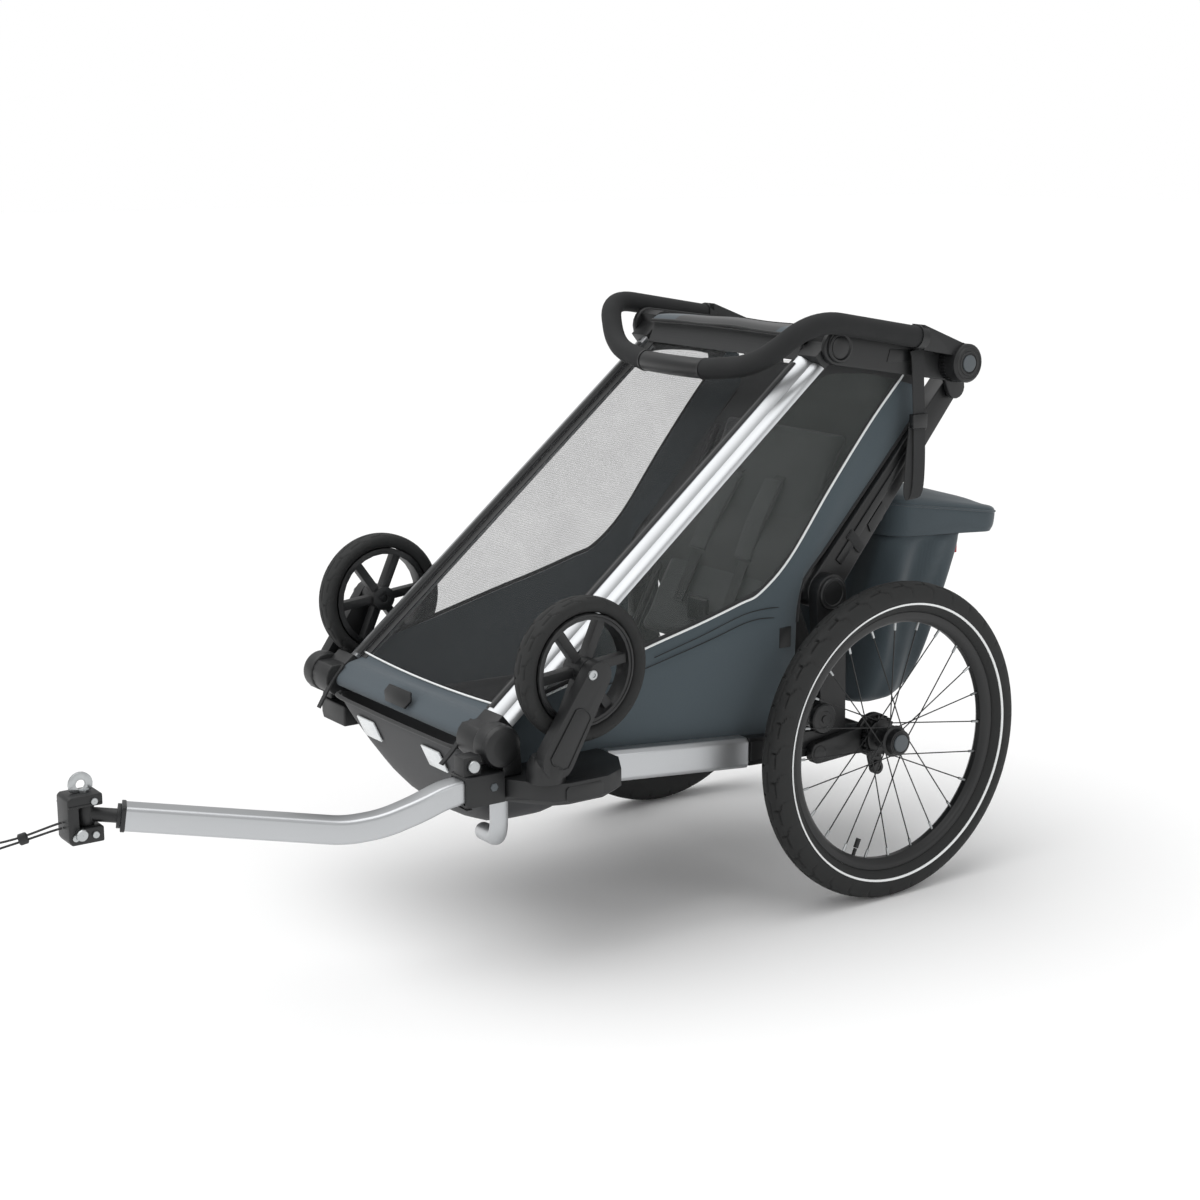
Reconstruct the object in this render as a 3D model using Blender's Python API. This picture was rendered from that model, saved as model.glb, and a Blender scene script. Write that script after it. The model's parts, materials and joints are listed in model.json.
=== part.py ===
"""Single-seat child bicycle trailer with a folding frame, a stowed pair of stroller wheels and a tow arm.

Lengths are metres and +Z is up.  The side-view points below are measured from the ground under the
main axle (y = 0 at the axle, the tow arm points to -Y, the trailer's left side is +X).  The root
empty shifts that datum so that the origin ends up at the middle of the trailer's footprint.
"""
import math

import bmesh
import bpy
from mathutils import Matrix, Vector

# ---- driving dimensions ------------------------------------------------------------------------
GAP = 0.0003                      # play between touching pieces
HITCH_FRONT_Y = -1.2456           # foremost rigid point, the hitch block
BAG_REAR_Y = 0.330                # rearmost point, the cargo bag lid
AXLE_Y = -(HITCH_FRONT_Y + BAG_REAR_Y) / 2

WHEEL_R = 0.250                   # 20 x 1.75 tyre, ETRTO 47-406
TRACK_HALF = 0.300                # main wheel centre plane
TYRE_HALF_WIDTH = 0.0235
STROLLER_R = 0.103                # small wheels stowed on the front corners
STROLLER_X = 0.283
STROLLER_AXLE = (-0.572, 0.445)

FRONT_PIVOT = (-0.690, 0.348)     # strut foot, side view (y, z)
TOP_PIVOT = (-0.0765, 0.8565)     # strut head to top bracket
REAR_PIVOT = (-0.086, 0.485)      # rear frame hinge
REAR_TOP = (0.170, 0.780)         # rear frame's upper end, where the linkage is left open
KNUCKLE = (0.158, 0.821)          # handlebar joint
SEAT_PIVOT = (-0.165, 0.335)      # lower edge of the seat back
SEAT_BACK_ANGLE = math.radians(62)
ARM_PIVOT = (-0.115, 0.240)       # suspension arm
AXLE = (0.0, WHEEL_R)
BRAKE_PIVOT = (0.045, 0.205)

STRUT_X = (0.190, 0.235)          # front strut, inner and outer faces
POST_X = (0.195, 0.230)           # rear frame posts
UPRIGHT_X = (0.2305, 0.250)       # chassis side castings
BRACKET_X = (0.2325, 0.2425)      # top bracket plates
BAR_X = 0.2605                    # handlebar side tubes
BAR_R = 0.0165
SLEEVE_HALF = 0.0745              # plastic sleeve in the middle of the handlebar
CABIN_SIDE_X = (0.2155, 0.2185)
RAIL_X = (0.226, 0.250)
CARRIER_Z = (0.270, 0.303)
CARRIER_FRONT_Y = -0.690
CARRIER_REAR_Y = -0.4985
RECEIVER_X = 0.250
RECEIVER_Z = 0.2935
ARM_HALF = 0.017                  # tow arm, half of its square section
ARM_END = Vector((0.100, -1.174, 0.298))
ARM_BEND = Vector((0.210, -0.905, 0.2555))
ARM_DIRECTION = (ARM_END - ARM_BEND).normalized()
HITCH = ARM_END + 0.046 * ARM_DIRECTION
SPOKES = 24
CORD_R = 0.0015                   # safety cord

COLOURS = {                       # name: (hex, roughness, metallic)
    "aluminium": ("C9CBCC", 0.28, 1.0),
    "steel": ("A9ABAC", 0.3, 1.0),
    "black_plastic": ("2B2C2D", 0.5, 0.0),
    "button_grey": ("50565A", 0.55, 0.0),
    "rubber": ("232323", 0.8, 0.0),
    "black_foam": ("2A2A2B", 0.85, 0.0),
    "black_metal": ("1E1F20", 0.4, 0.3),
    "side_fabric": ("4A5559", 0.85, 0.0),
    "panel_fabric": ("66737A", 0.85, 0.0),
    "dark_fabric": ("3A3A3A", 0.9, 0.0),
    "nose_fabric": ("4A4A4C", 0.85, 0.0),
    "seat_fabric": ("34373A", 0.9, 0.0),
    "webbing": ("262627", 0.85, 0.0),
    "reflector": ("E6E8E8", 0.25, 0.0),
}

pivots = {}
materials = {}


# ---- shared helpers ----------------------------------------------------------------------------
def linear(channel):
    """One sRGB channel, 0 to 1, as a linear value."""
    if channel <= 0.04045:
        return channel / 12.92
    return ((channel + 0.055) / 1.055) ** 2.4


def material(name):
    """The named material, made on first use."""
    if name not in materials:
        code, roughness, metallic = COLOURS[name]
        rgb = [linear(int(code[i:i + 2], 16) / 255) for i in (0, 2, 4)]
        made = bpy.data.materials.new(name)
        made.use_nodes = True
        shader = made.node_tree.nodes["Principled BSDF"]
        shader.inputs["Base Color"].default_value = (*rgb, 1)
        shader.inputs["Roughness"].default_value = roughness
        shader.inputs["Metallic"].default_value = metallic
        made.diffuse_color = (*rgb, 1)
        materials[name] = made
    return materials[name]


def joint(name, parent, at):
    """An empty on a joint's axis, which carries the pieces that move with it."""
    empty = bpy.data.objects.new(f"{name}_pivot", None)
    empty.empty_display_size = 0.03
    bpy.context.collection.objects.link(empty)
    pivots[name] = Vector(at)
    if parent is None:
        empty.location = (0, AXLE_Y, 0)
    else:
        empty.parent = bpy.data.objects[f"{parent}_pivot"]
        empty.location = pivots[name] - pivots[parent]


def put(name, shape, finish, parent, smooth=35, thickness=None):
    """Place a shape as the named object on its joint, optionally thickened into a shell."""
    shape.transform(Matrix.Translation(-pivots[parent]))
    mesh = bpy.data.meshes.new(name)
    shape.to_mesh(mesh)
    shape.free()
    mesh.materials.append(material(finish))
    mesh.shade_smooth()
    mesh.set_sharp_from_angle(angle=math.radians(smooth))
    piece = bpy.data.objects.new(name, mesh)
    bpy.context.collection.objects.link(piece)
    piece.parent = bpy.data.objects[f"{parent}_pivot"]
    if thickness is not None:
        shell = piece.modifiers.new("thickness", "SOLIDIFY")
        shell.thickness = thickness
        shell.use_even_offset = True
    return piece


def skin(rings, looped=False):
    """Skin rings of equal length into one closed body; looped joins the last ring to the first."""
    shape = bmesh.new()
    rows = [[shape.verts.new(point) for point in ring] for ring in rings]
    pairs = list(zip(rows, rows[1:]))
    if looped:
        pairs.append((rows[-1], rows[0]))
    for row, following in pairs:
        for i, vertex in enumerate(row):
            j = (i + 1) % len(row)
            shape.faces.new((vertex, row[j], following[j], following[i]))
    if not looped:
        shape.faces.new(rows[0])
        shape.faces.new(list(reversed(rows[-1])))
    bmesh.ops.recalc_face_normals(shape, faces=shape.faces)
    return shape


def sheet(rows):
    """An open surface through rows of points, for a Solidify modifier to thicken."""
    shape = bmesh.new()
    grid = [[shape.verts.new(point) for point in row] for row in rows]
    for row, following in zip(grid, grid[1:]):
        for i in range(len(row) - 1):
            shape.faces.new((row[i], row[i + 1], following[i + 1], following[i]))
    bmesh.ops.recalc_face_normals(shape, faces=shape.faces)
    return shape


def prism_x(outline, x_from, x_to):
    """A side-view outline of (y, z) points extruded across the trailer."""
    return skin([[(x, y, z) for y, z in outline] for x in (x_from, x_to)])


def turned(profile, centre, segments=24, ring=False):
    """Turn (x, radius) points about an axis along X through the side-view centre."""
    start = -math.pi / 2
    rows = []
    for x, radius in profile:
        turns = [start + math.tau * i / segments for i in range(segments)]
        rows.append([(x, centre[0] + radius * math.cos(t), centre[1] + radius * math.sin(t)) for t in turns])
    return skin(rows, looped=ring)


def cylinder(start, end, radius, sides=16):
    """A capped round bar between two points."""
    return tube([Vector(start), Vector(end)], radius, sides)


def block(low, high):
    """A box between two corners."""
    (x0, y0, z0), (x1, y1, z1) = low, high
    return prism_x([(y0, z0), (y1, z0), (y1, z1), (y0, z1)], x0, x1)


def sweep(path, section, upright=Vector((0, 0, 1))):
    """Carry a section of (side, up) points along a path."""
    rings = []
    for i, point in enumerate(path):
        ahead = path[min(i + 1, len(path) - 1)]
        behind = path[max(i - 1, 0)]
        along = (ahead - behind).normalized()
        side = along.cross(upright).normalized()
        up = side.cross(along)
        rings.append([point + side * a + up * b for a, b in section])
    return skin(rings)


def circle(radius, sides):
    """A round section of (side, up) points."""
    return [(radius * math.cos(math.tau * i / sides), radius * math.sin(math.tau * i / sides))
            for i in range(sides)]


def tube(path, radius, sides=12):
    """A round bar along a path."""
    along = (path[-1] - path[0]).normalized()
    upright = Vector((0, 0, 1)) if abs(along.z) < 0.8 else Vector((0, 1, 0))
    return sweep(path, circle(radius, sides), upright)


def rounded_path(points, radius, steps=5):
    """A polyline whose inner corners are replaced by curves that start a radius from the corner."""
    points = [Vector(point) for point in points]
    path = [points[0]]
    for before, corner, after in zip(points, points[1:], points[2:]):
        start = corner + (before - corner).normalized() * radius
        end = corner + (after - corner).normalized() * radius
        for step in range(steps + 1):
            t = step / steps
            path.append(start.lerp(corner, t).lerp(corner.lerp(end, t), t))
    path.append(points[-1])
    return path


def spline(points, steps):
    """A smooth curve through the points, with this many steps in each stretch."""
    padded = [2 * points[0] - points[1], *points, 2 * points[-1] - points[-2]]
    smooth = []
    for a, b, c, d in zip(padded, padded[1:], padded[2:], padded[3:]):
        for step in range(steps):
            t = step / steps
            smooth.append(0.5 * (2 * b + (c - a) * t + (2 * a - 5 * b + 4 * c - d) * t * t
                                 + (3 * b - a - 3 * c + d) * t * t * t))
    return [*smooth, points[-1]]


def capsule(start, end, start_radius, end_radius, steps=9):
    """The side-view outline of a link: two rounded ends joined by straight flanks."""
    heading = math.atan2(end[1] - start[1], end[0] - start[0])
    outline = []
    for centre, radius, turn in ((start, start_radius, math.pi / 2), (end, end_radius, -math.pi / 2)):
        for step in range(steps + 1):
            angle = heading + turn + math.pi * step / steps
            outline.append((centre[0] + radius * math.cos(angle), centre[1] + radius * math.sin(angle)))
    return outline


def combine(base, others, operation="UNION"):
    """Join shapes to a base, or cut them from it, with an exact Boolean."""
    stock = []
    for shape in [base, *others]:
        mesh = bpy.data.meshes.new("stock")
        shape.to_mesh(mesh)
        shape.free()
        stock.append(bpy.data.objects.new("stock", mesh))
        bpy.context.collection.objects.link(stock[-1])
    for tool in stock[1:]:
        cut = stock[0].modifiers.new("combine", "BOOLEAN")
        cut.operation = operation
        cut.solver = "EXACT"
        cut.object = tool
    evaluated = stock[0].evaluated_get(bpy.context.evaluated_depsgraph_get())
    result = bmesh.new()
    result.from_mesh(evaluated.to_mesh())
    for item in stock:
        bpy.data.objects.remove(item)
    bmesh.ops.remove_doubles(result, verts=result.verts, dist=1e-6)
    return result


def along(start, end, distance, offset=0.0):
    """The side-view point a distance from start towards end, offset to the upper side."""
    heading = Vector((end[0] - start[0], end[1] - start[1])).normalized()
    return (start[0] + heading.x * distance - heading.y * offset,
            start[1] + heading.y * distance + heading.x * offset)


def on_strut(distance, offset=0.0):
    return along(FRONT_PIVOT, TOP_PIVOT, distance, offset)


def on_post(distance, offset=0.0):
    return along(REAR_PIVOT, REAR_TOP, distance, offset)


def on_seat_back(distance, offset=0.0):
    end = (SEAT_PIVOT[0] + math.cos(SEAT_BACK_ANGLE), SEAT_PIVOT[1] + math.sin(SEAT_BACK_ANGLE))
    return along(SEAT_PIVOT, end, distance, offset)


def at(side_point, x=0.0):
    return Vector((x, side_point[0], side_point[1]))


def mirrored(shape, sign):
    """The shape itself on the left, its mirror image on the right."""
    if sign < 0:
        shape.transform(Matrix.Scale(-1, 4, Vector((1, 0, 0))))
        bmesh.ops.reverse_faces(shape, faces=shape.faces)
    return shape


# ---- chassis -----------------------------------------------------------------------------------
def floor_tub():
    """Nose, footwell and seat floor: one open-topped moulded shell under a fabric skin."""
    # keel (y, z), keel half width, rim (y, z), rim half width, from the front lip to the rear
    stations = [
        ((-0.712, 0.328), 0.160, (-0.702, 0.331), 0.176),
        ((-0.676, 0.250), 0.140, (-0.692, 0.330), 0.184),
        ((-0.634, 0.172), 0.105, (-0.665, 0.322), 0.187),
        ((-0.580, 0.160), 0.112, (-0.590, 0.314), 0.187),
        ((-0.500, 0.172), 0.130, (-0.510, 0.312), 0.187),
        ((-0.430, 0.255), 0.168, (-0.440, 0.311), 0.187),
        ((-0.240, 0.252), 0.172, (-0.240, 0.305), 0.187),
        ((-0.060, 0.248), 0.172, (-0.050, 0.300), 0.187),
        ((-0.032, 0.275), 0.172, (-0.030, 0.298), 0.187),
    ]
    rows = []
    for keel, keel_half, rim, rim_half in stations:
        half = []
        for share, bulge in ((0.0, 0.0), (0.5, 0.14), (0.85, 0.10)):
            y = keel[0] + (rim[0] - keel[0]) * share
            z = keel[1] + (rim[1] - keel[1]) * share
            x = keel_half + (rim_half - keel_half) * (share + bulge)
            half.append((x, y, z))
        half.append((rim_half, rim[0], rim[1]))
        left = [(-x, y, z) for x, y, z in reversed(half)]
        rows.append(left + [(0, keel[0], keel[1])] + half)
    put("floor_tub", sheet(rows), "nose_fabric", "chassis", thickness=0.004)


def chassis_sides():
    """Rails, carriers, pivots and reflectors on each side of the chassis, and the foot bow on its left."""
    for side, sign in (("L", 1), ("R", -1)):
        rail_slope = (0.282 - 0.305) / (0.4985 - 0.2427)
        rear_y = -0.2430
        front_y = CARRIER_REAR_Y + GAP
        drop = rail_slope * (rear_y - front_y)
        section = [(0.226, 0.258), (0.246, 0.258), (0.250, 0.264), (0.250, 0.299), (0.244, 0.305), (0.226, 0.305)]
        rail = skin([[(x, front_y, z) for x, z in section], [(x, rear_y, z + drop) for x, z in section]])
        put(f"side_rail_{side}", mirrored(rail, sign), "aluminium", "chassis")

        plan = [(0.190, CARRIER_FRONT_Y), (0.262, CARRIER_FRONT_Y), (0.300, -0.668), (0.326, -0.648),
                (0.335, -0.625), (0.335, -0.562), (0.318, -0.528), (0.270, CARRIER_REAR_Y),
                (0.190, CARRIER_REAR_Y)]
        inset = [(0.190, CARRIER_FRONT_Y), (0.258, CARRIER_FRONT_Y), (0.294, -0.664), (0.318, -0.645),
                 (0.326, -0.622), (0.326, -0.566), (0.310, -0.534), (0.264, CARRIER_REAR_Y),
                 (0.190, CARRIER_REAR_Y)]
        low, high = CARRIER_Z
        tray = skin([[(x, y, low) for x, y in inset], [(x, y, low + 0.008) for x, y in plan],
                     [(x, y, high) for x, y in plan]])
        socket = cylinder((0.305, -0.645, low + 0.006), (0.305, -0.645, high + 0.01), 0.0125)
        tray = combine(tray, [socket], "DIFFERENCE")
        put(f"carrier_base_{side}", mirrored(tray, sign), "black_plastic", "chassis")

        leg_top = CARRIER_Z[1] + GAP
        cheek = [(-0.655, leg_top), (-0.687, leg_top)]
        for step in range(13):
            angle = math.radians(-85 - 271 * step / 12)
            cheek.append((FRONT_PIVOT[0] + 0.031 * math.cos(angle), FRONT_PIVOT[1] + 0.031 * math.sin(angle)))
        cheek = prism_x(cheek, 0.2370, 0.262)
        put(f"front_pivot_{side}", mirrored(cheek, sign), "black_plastic", "chassis")


        wall_low, wall_high = (-0.6880, 0.2760), (-0.7035, 0.3095)
        lens = [along(wall_low, wall_high, 0, n) for n in (0.0005, 0.0035)]
        lens += [along(wall_low, wall_high, 0.036, n) for n in (0.0035, 0.0005)]
        put(f"reflector_{side}", mirrored(prism_x(lens, 0.070, 0.120), sign), "reflector", "chassis")
    bow = rounded_path([(0.208, -0.661, CARRIER_Z[0] - GAP), (0.208, -0.661, 0.196), (0.142, -0.637, 0.180)], 0.030)
    put("foot_bow", tube(bow, 0.013), "aluminium", "chassis")


def rear_chassis():
    """Welded rear end: both side castings, the cross tube and the brake lugs."""
    parts = []
    for sign in (1, -1):
        post = prism_x(capsule((-0.075, 0.262), REAR_PIVOT, 0.024, 0.029), *UPRIGHT_X)
        arm = prism_x([(-0.2427, 0.239), (0.022, 0.228), (0.022, 0.262), (-0.2427, 0.2815)], *UPRIGHT_X)
        lug = block((0.110, BRAKE_PIVOT[0] - 0.012, 0.2115), (0.130, BRAKE_PIVOT[0] + 0.010, 0.240))
        web = block((0.110, 0.0, 0.232), (0.130, BRAKE_PIVOT[0] + 0.010, 0.252))
        parts += [mirrored(shape, sign) for shape in (post, arm, lug, web)]
    cross = cylinder((-0.240, 0.0, 0.2445), (0.240, 0.0, 0.2445), 0.016)
    put("rear_chassis", combine(cross, parts), "black_plastic", "chassis")


def cabin_sides():
    """Fabric side walls with their window film, one plain sheet on each side."""
    outline = [(-0.652, 0.312), on_strut(0.046, -0.020), on_strut(0.715, -0.0135), (-0.078, 0.822),
               (0.020, 0.824), (0.105, 0.800), on_post(0.335, 0.0205), on_post(0.050, 0.0300),
               (-0.1175, 0.500), (-0.128, 0.452), (-0.132, 0.285), (-0.490, 0.306)]
    for side, sign in (("L", 1), ("R", -1)):
        wall = prism_x(outline, *CABIN_SIDE_X)
        put(f"cabin_side_{side}", mirrored(wall, sign), "side_fabric", "chassis")


def cargo_bag():
    """Bag behind the seat with a deeper lid, as one closed body."""
    # front (y, z), rear (y, z), half width, from the bottom to the lid's top
    levels = [
        ((0.069, 0.260), (0.152, 0.262), 0.150), ((0.062, 0.300), (0.176, 0.305), 0.172),
        ((0.066, 0.4425), (0.222, 0.4425), 0.186), ((0.088, 0.538), (0.262, 0.524), 0.192),
        ((0.084, 0.545), (BAG_REAR_Y - 0.006, 0.530), 0.198), ((0.088, 0.606), (BAG_REAR_Y, 0.566), 0.200),
        ((0.100, 0.616), (BAG_REAR_Y - 0.012, 0.575), 0.190),
    ]
    rings = []
    for front, rear, half in levels:
        corner = 0.035
        ring = []
        for cx, cy, first in ((1, 1, 0), (-1, 1, 90), (-1, 0, 180), (1, 0, 270)):
            for step in range(4):
                angle = math.radians(first + 30 * step)
                x = cx * (half - corner) + corner * math.cos(angle)
                depth = rear[0] - front[0]
                y = (depth - corner if cy else corner) + corner * math.sin(angle)
                z = front[1] + (rear[1] - front[1]) * y / depth
                ring.append((x, front[0] + y, z))
        rings.append(ring)
    put("cargo_bag", skin(rings), "side_fabric", "chassis", smooth=50)


def seat_base():
    """Seat cushion on the tub floor."""
    cushion = [(-0.415, 0.262), (-0.180, 0.262), (-0.176, 0.300), (-0.190, 0.314), (-0.395, 0.320), (-0.418, 0.300)]
    put("seat_base", prism_x(cushion, -0.158, 0.158), "seat_fabric", "chassis")


def arm_receiver():
    """Square sleeve that takes the tow arm, with the lock boss on top."""
    outer = ARM_HALF + 0.0045
    inner = ARM_HALF + GAP
    low_y, high_y = -0.752, CARRIER_FRONT_Y - GAP
    sleeve = block((RECEIVER_X - outer, low_y, RECEIVER_Z - outer), (RECEIVER_X + outer, high_y, RECEIVER_Z + outer))
    boss = block((0.236, -0.750, RECEIVER_Z + outer - 0.003), (0.262, -0.7225, 0.341))
    bore = block((RECEIVER_X - inner, low_y - 0.01, RECEIVER_Z - inner),
                 (RECEIVER_X + inner, high_y - 0.0015, RECEIVER_Z + inner))
    put("arm_receiver", combine(combine(sleeve, [boss]), [bore], "DIFFERENCE"), "black_plastic", "chassis")
    lock_centre = (-0.7363, 0.3285)
    joint("lock_turn", "chassis", at(lock_centre, 0.262))
    barrel = turned([(0.262 + GAP, 0.009), (0.268, 0.009), (0.269, 0.008)], lock_centre, 16)
    put("receiver_lock", barrel, "steel", "lock_turn")


def brake_pedal():
    """Parking brake bar across the rear with its foot pedal."""
    joint("brake", "chassis", at(BRAKE_PIVOT))
    bar = cylinder(at(BRAKE_PIVOT, -0.185), at(BRAKE_PIVOT, 0.185), 0.006, 12)
    pedal = prism_x([(0.043, 0.200), (0.100, 0.192), (0.112, 0.196), (0.112, 0.201), (0.100, 0.200), (0.045, 0.210)],
                    0.135, 0.175)
    put("brake_pedal", combine(bar, [pedal]), "black_plastic", "brake")


# ---- main wheels and suspension ----------------------------------------------------------------
def tyre_profile(half_width, outer, bead, centre_x):
    """Closed section of a tyre as (x, radius) points."""
    depth = outer - bead
    points = [(0.50, 0.0), (1.0, 0.45), (0.78, 0.86), (0.0, 1.0)]
    near = [(centre_x + half_width * x, bead + depth * r) for x, r in points]
    far = [(centre_x - half_width * x, bead + depth * r) for x, r in reversed(points[:-1])]
    return near + far


def hub_shape():
    """Hub shell with its toothed brake ring and the spokes, one welded-up body."""
    profile = [(0.2995, 0.0084), (0.2665, 0.0084), (0.2665, 0.021), (0.2735, 0.021), (0.2740, 0.027),
               (0.2765, 0.027), (0.2780, 0.0155), (0.3040, 0.0155), (0.3055, 0.025), (0.3080, 0.025),
               (0.3095, 0.0205), (0.3205, 0.0205), (0.3205, 0.0142), (0.3090, 0.0142)]
    hub = turned(profile, AXLE, 20)
    teeth = []
    for i in range(24):
        radius = 0.034 if i % 2 else 0.0295
        angle = math.tau * i / 24
        teeth.append((AXLE[0] + radius * math.cos(angle), AXLE[1] + radius * math.sin(angle)))
    ring = combine(prism_x(teeth, 0.2668, 0.2728), [turned([(0.26, 0.018), (0.28, 0.018)], AXLE, 24)], "DIFFERENCE")
    spokes = []
    for i in range(SPOKES):
        outer_flange = i % 2
        crossing = 1 if i % 4 < 2 else -1
        rim_angle = math.tau * i / SPOKES
        hub_angle = rim_angle + crossing * math.radians(66)
        x = (0.3067 if outer_flange else 0.2752) + crossing * 0.0008
        start = Vector((x, AXLE[0] + 0.0235 * math.cos(hub_angle), AXLE[1] + 0.0235 * math.sin(hub_angle)))
        end = Vector((TRACK_HALF, AXLE[0] + 0.1852 * math.cos(rim_angle), AXLE[1] + 0.1852 * math.sin(rim_angle)))
        spokes.append(tube([start, end], 0.0012, 4))
    return combine(combine(hub, [ring]), spokes)


def main_wheels():
    for side, sign in (("L", 1), ("R", -1)):
        joint(f"suspension_{side}", "chassis", at(ARM_PIVOT, sign * 0.258))
        lever = prism_x(capsule(ARM_PIVOT, AXLE, 0.017, 0.021), UPRIGHT_X[1] + GAP, 0.2645)
        stub = turned([(0.262, 0.008), (0.298, 0.008)], AXLE, 24)
        put(f"swing_arm_{side}", mirrored(combine(lever, [stub]), sign), "black_metal", f"suspension_{side}")

        joint(f"wheel_{side}", f"suspension_{side}", at(AXLE, sign * TRACK_HALF))
        tyre = turned(tyre_profile(TYRE_HALF_WIDTH, WHEEL_R, 0.2045, TRACK_HALF), AXLE, 40, ring=True)
        put(f"tyre_{side}", mirrored(tyre, sign), "rubber", f"wheel_{side}")
        rim_section = [(0.0125, 0.2041), (0.0125, 0.194), (0.0, 0.1868), (-0.0125, 0.194), (-0.0125, 0.2041)]
        rim = turned([(TRACK_HALF + x, r) for x, r in rim_section], AXLE, 40, ring=True)
        put(f"rim_{side}", mirrored(rim, sign), "black_metal", f"wheel_{side}")
        put(f"hub_{side}", mirrored(hub_shape(), sign), "black_metal", f"wheel_{side}")

        joint(f"axle_release_{side}", f"wheel_{side}", at(AXLE, sign * 0.3125))
        button = turned([(0.3125, 0.0138), (0.3225, 0.0138), (0.3235, 0.0125)], AXLE, 24)
        put(f"hub_button_{side}", mirrored(button, sign), "button_grey", f"axle_release_{side}")


# ---- stroller wheels stowed on the carriers -------------------------------------------------------
def stroller_wheels():
    for side, sign in (("L", 1), ("R", -1)):
        joint(f"fork_{side}", "chassis", (sign * 0.305, -0.645, CARRIER_Z[1]))
        foot_low = CARRIER_Z[1] + GAP
        stem = cylinder((0.305, -0.645, CARRIER_Z[0] + 0.007), (0.305, -0.645, foot_low + 0.01), 0.0122)
        foot = skin([[(0.305 + a, -0.645 + b, z) for a, b in circle(r, 20)]
                     for z, r in ((foot_low, 0.027), (foot_low + 0.024, 0.027), (foot_low + 0.036, 0.020))])
        blade_outline = capsule((-0.640, 0.335), STROLLER_AXLE, 0.026, 0.019)
        blade = prism_x(blade_outline, 0.308, 0.330)
        floor_cut = block((0.25, -0.75, 0.25), (0.40, -0.55, foot_low))
        blade = combine(blade, [floor_cut], "DIFFERENCE")
        axle = turned([(0.312, 0.006), (0.268, 0.006)], STROLLER_AXLE, 12)
        fork = combine(foot, [stem, blade, axle])
        put(f"fork_{side}", mirrored(fork, sign), "black_plastic", f"fork_{side}")

        joint(f"stroller_wheel_{side}", f"fork_{side}", at(STROLLER_AXLE, sign * STROLLER_X))
        tyre = turned(tyre_profile(0.019, STROLLER_R, 0.081, STROLLER_X), STROLLER_AXLE, 28, ring=True)
        put(f"stroller_tyre_{side}", mirrored(tyre, sign), "rubber", f"stroller_wheel_{side}")
        rim_section = [(0.014, 0.0806), (0.014, 0.0715), (-0.014, 0.0715), (-0.014, 0.0806)]
        rim = turned([(STROLLER_X + x, r) for x, r in rim_section], STROLLER_AXLE, 28, ring=True)
        hub = turned([(0.266, 0.019), (0.3065, 0.019)], STROLLER_AXLE, 20)
        spokes = []
        for i in range(6):
            turn = Matrix.Rotation(math.tau * i / 6 + 0.1, 4, "X")
            spoke = block((STROLLER_X - 0.008, 0.010, -0.0065), (STROLLER_X + 0.008, 0.074, 0.0065))
            spoke.transform(Matrix.Translation(at(STROLLER_AXLE)) @ turn)
            spokes.append(spoke)
        bore = turned([(0.25, 0.0063), (0.32, 0.0063)], STROLLER_AXLE, 16)
        core = combine(combine(hub, [rim, *spokes]), [bore], "DIFFERENCE")
        put(f"stroller_rim_{side}", mirrored(core, sign), "black_plastic", f"stroller_wheel_{side}")


# ---- folding frame ------------------------------------------------------------------------------
def front_frame():
    """Struts, their end castings with the cross tubes, and the front cover stretched between them."""
    section = [(0.190, -0.012), (0.232, -0.012), (0.235, -0.004), (0.232, 0.001), (0.215, 0.0105), (0.190, 0.0105)]
    strut_from, strut_to = 0.038, 0.760
    feet, heads = [], []
    for side, sign in (("L", 1), ("R", -1)):
        rings = [[at(on_strut(s, n), x) for x, n in section] for s in (strut_from, strut_to)]
        put(f"strut_{side}", mirrored(skin(rings), sign), "aluminium", "fold")
        foot = prism_x(capsule(FRONT_PIVOT, on_strut(strut_from - GAP), 0.029, 0.0), STRUT_X[0], 0.2367)
        collar = prism_x([on_strut(0.0, -0.018), on_strut(strut_from - GAP, -0.018),
                          on_strut(strut_from - GAP, 0.015), on_strut(0.0, 0.015)], STRUT_X[0], 0.2367)
        feet.append(mirrored(combine(foot, [collar]), sign))
        head = prism_x(capsule(TOP_PIVOT, on_strut(0.790), 0.025, 0.014), STRUT_X[0], 0.232)
        neck = prism_x([on_strut(strut_to + GAP, -0.014), on_strut(0.790, -0.014), on_strut(0.790, 0.013),
                        on_strut(strut_to + GAP, 0.013)], STRUT_X[0], 0.232)
        head_cut = prism_x([on_strut(0.70, -0.05), on_strut(strut_to + GAP, -0.05), on_strut(strut_to + GAP, 0.05),
                            on_strut(0.70, 0.05)], 0.15, 0.25)
        head = combine(combine(head, [neck]), [head_cut], "DIFFERENCE")
        heads.append(mirrored(head, sign))
    lower_tube = cylinder(at(FRONT_PIVOT, -0.20), at(FRONT_PIVOT, 0.20), 0.008, 12)
    upper_tube = cylinder(at(TOP_PIVOT, -0.20), at(TOP_PIVOT, 0.20), 0.011, 12)
    put("front_yoke", combine(lower_tube, feet), "black_plastic", "fold")
    put("top_yoke", combine(upper_tube, heads), "black_plastic", "fold")

    cover = [[at(on_strut(s, n), x) for x, n in ((-0.1885, 0.0), (0.1885, 0.0), (0.1885, 0.003), (-0.1885, 0.003))]
             for s in (0.0430, 0.745)]
    put("front_cover", skin(cover), "dark_fabric", "fold")

    wrap = [on_strut(0.0385, 0.0015), on_strut(0.022, 0.0115)]
    for step in range(5):
        angle = math.radians(130 + 22 * step)
        wrap.append((FRONT_PIVOT[0] + 0.0115 * math.cos(angle), FRONT_PIVOT[1] + 0.0115 * math.sin(angle)))
    panel = sheet([[at(point, x) for x in (-0.1885, 0.1885)] for point in wrap])
    put("front_panel", panel, "panel_fabric", "fold", thickness=-0.0025)


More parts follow.
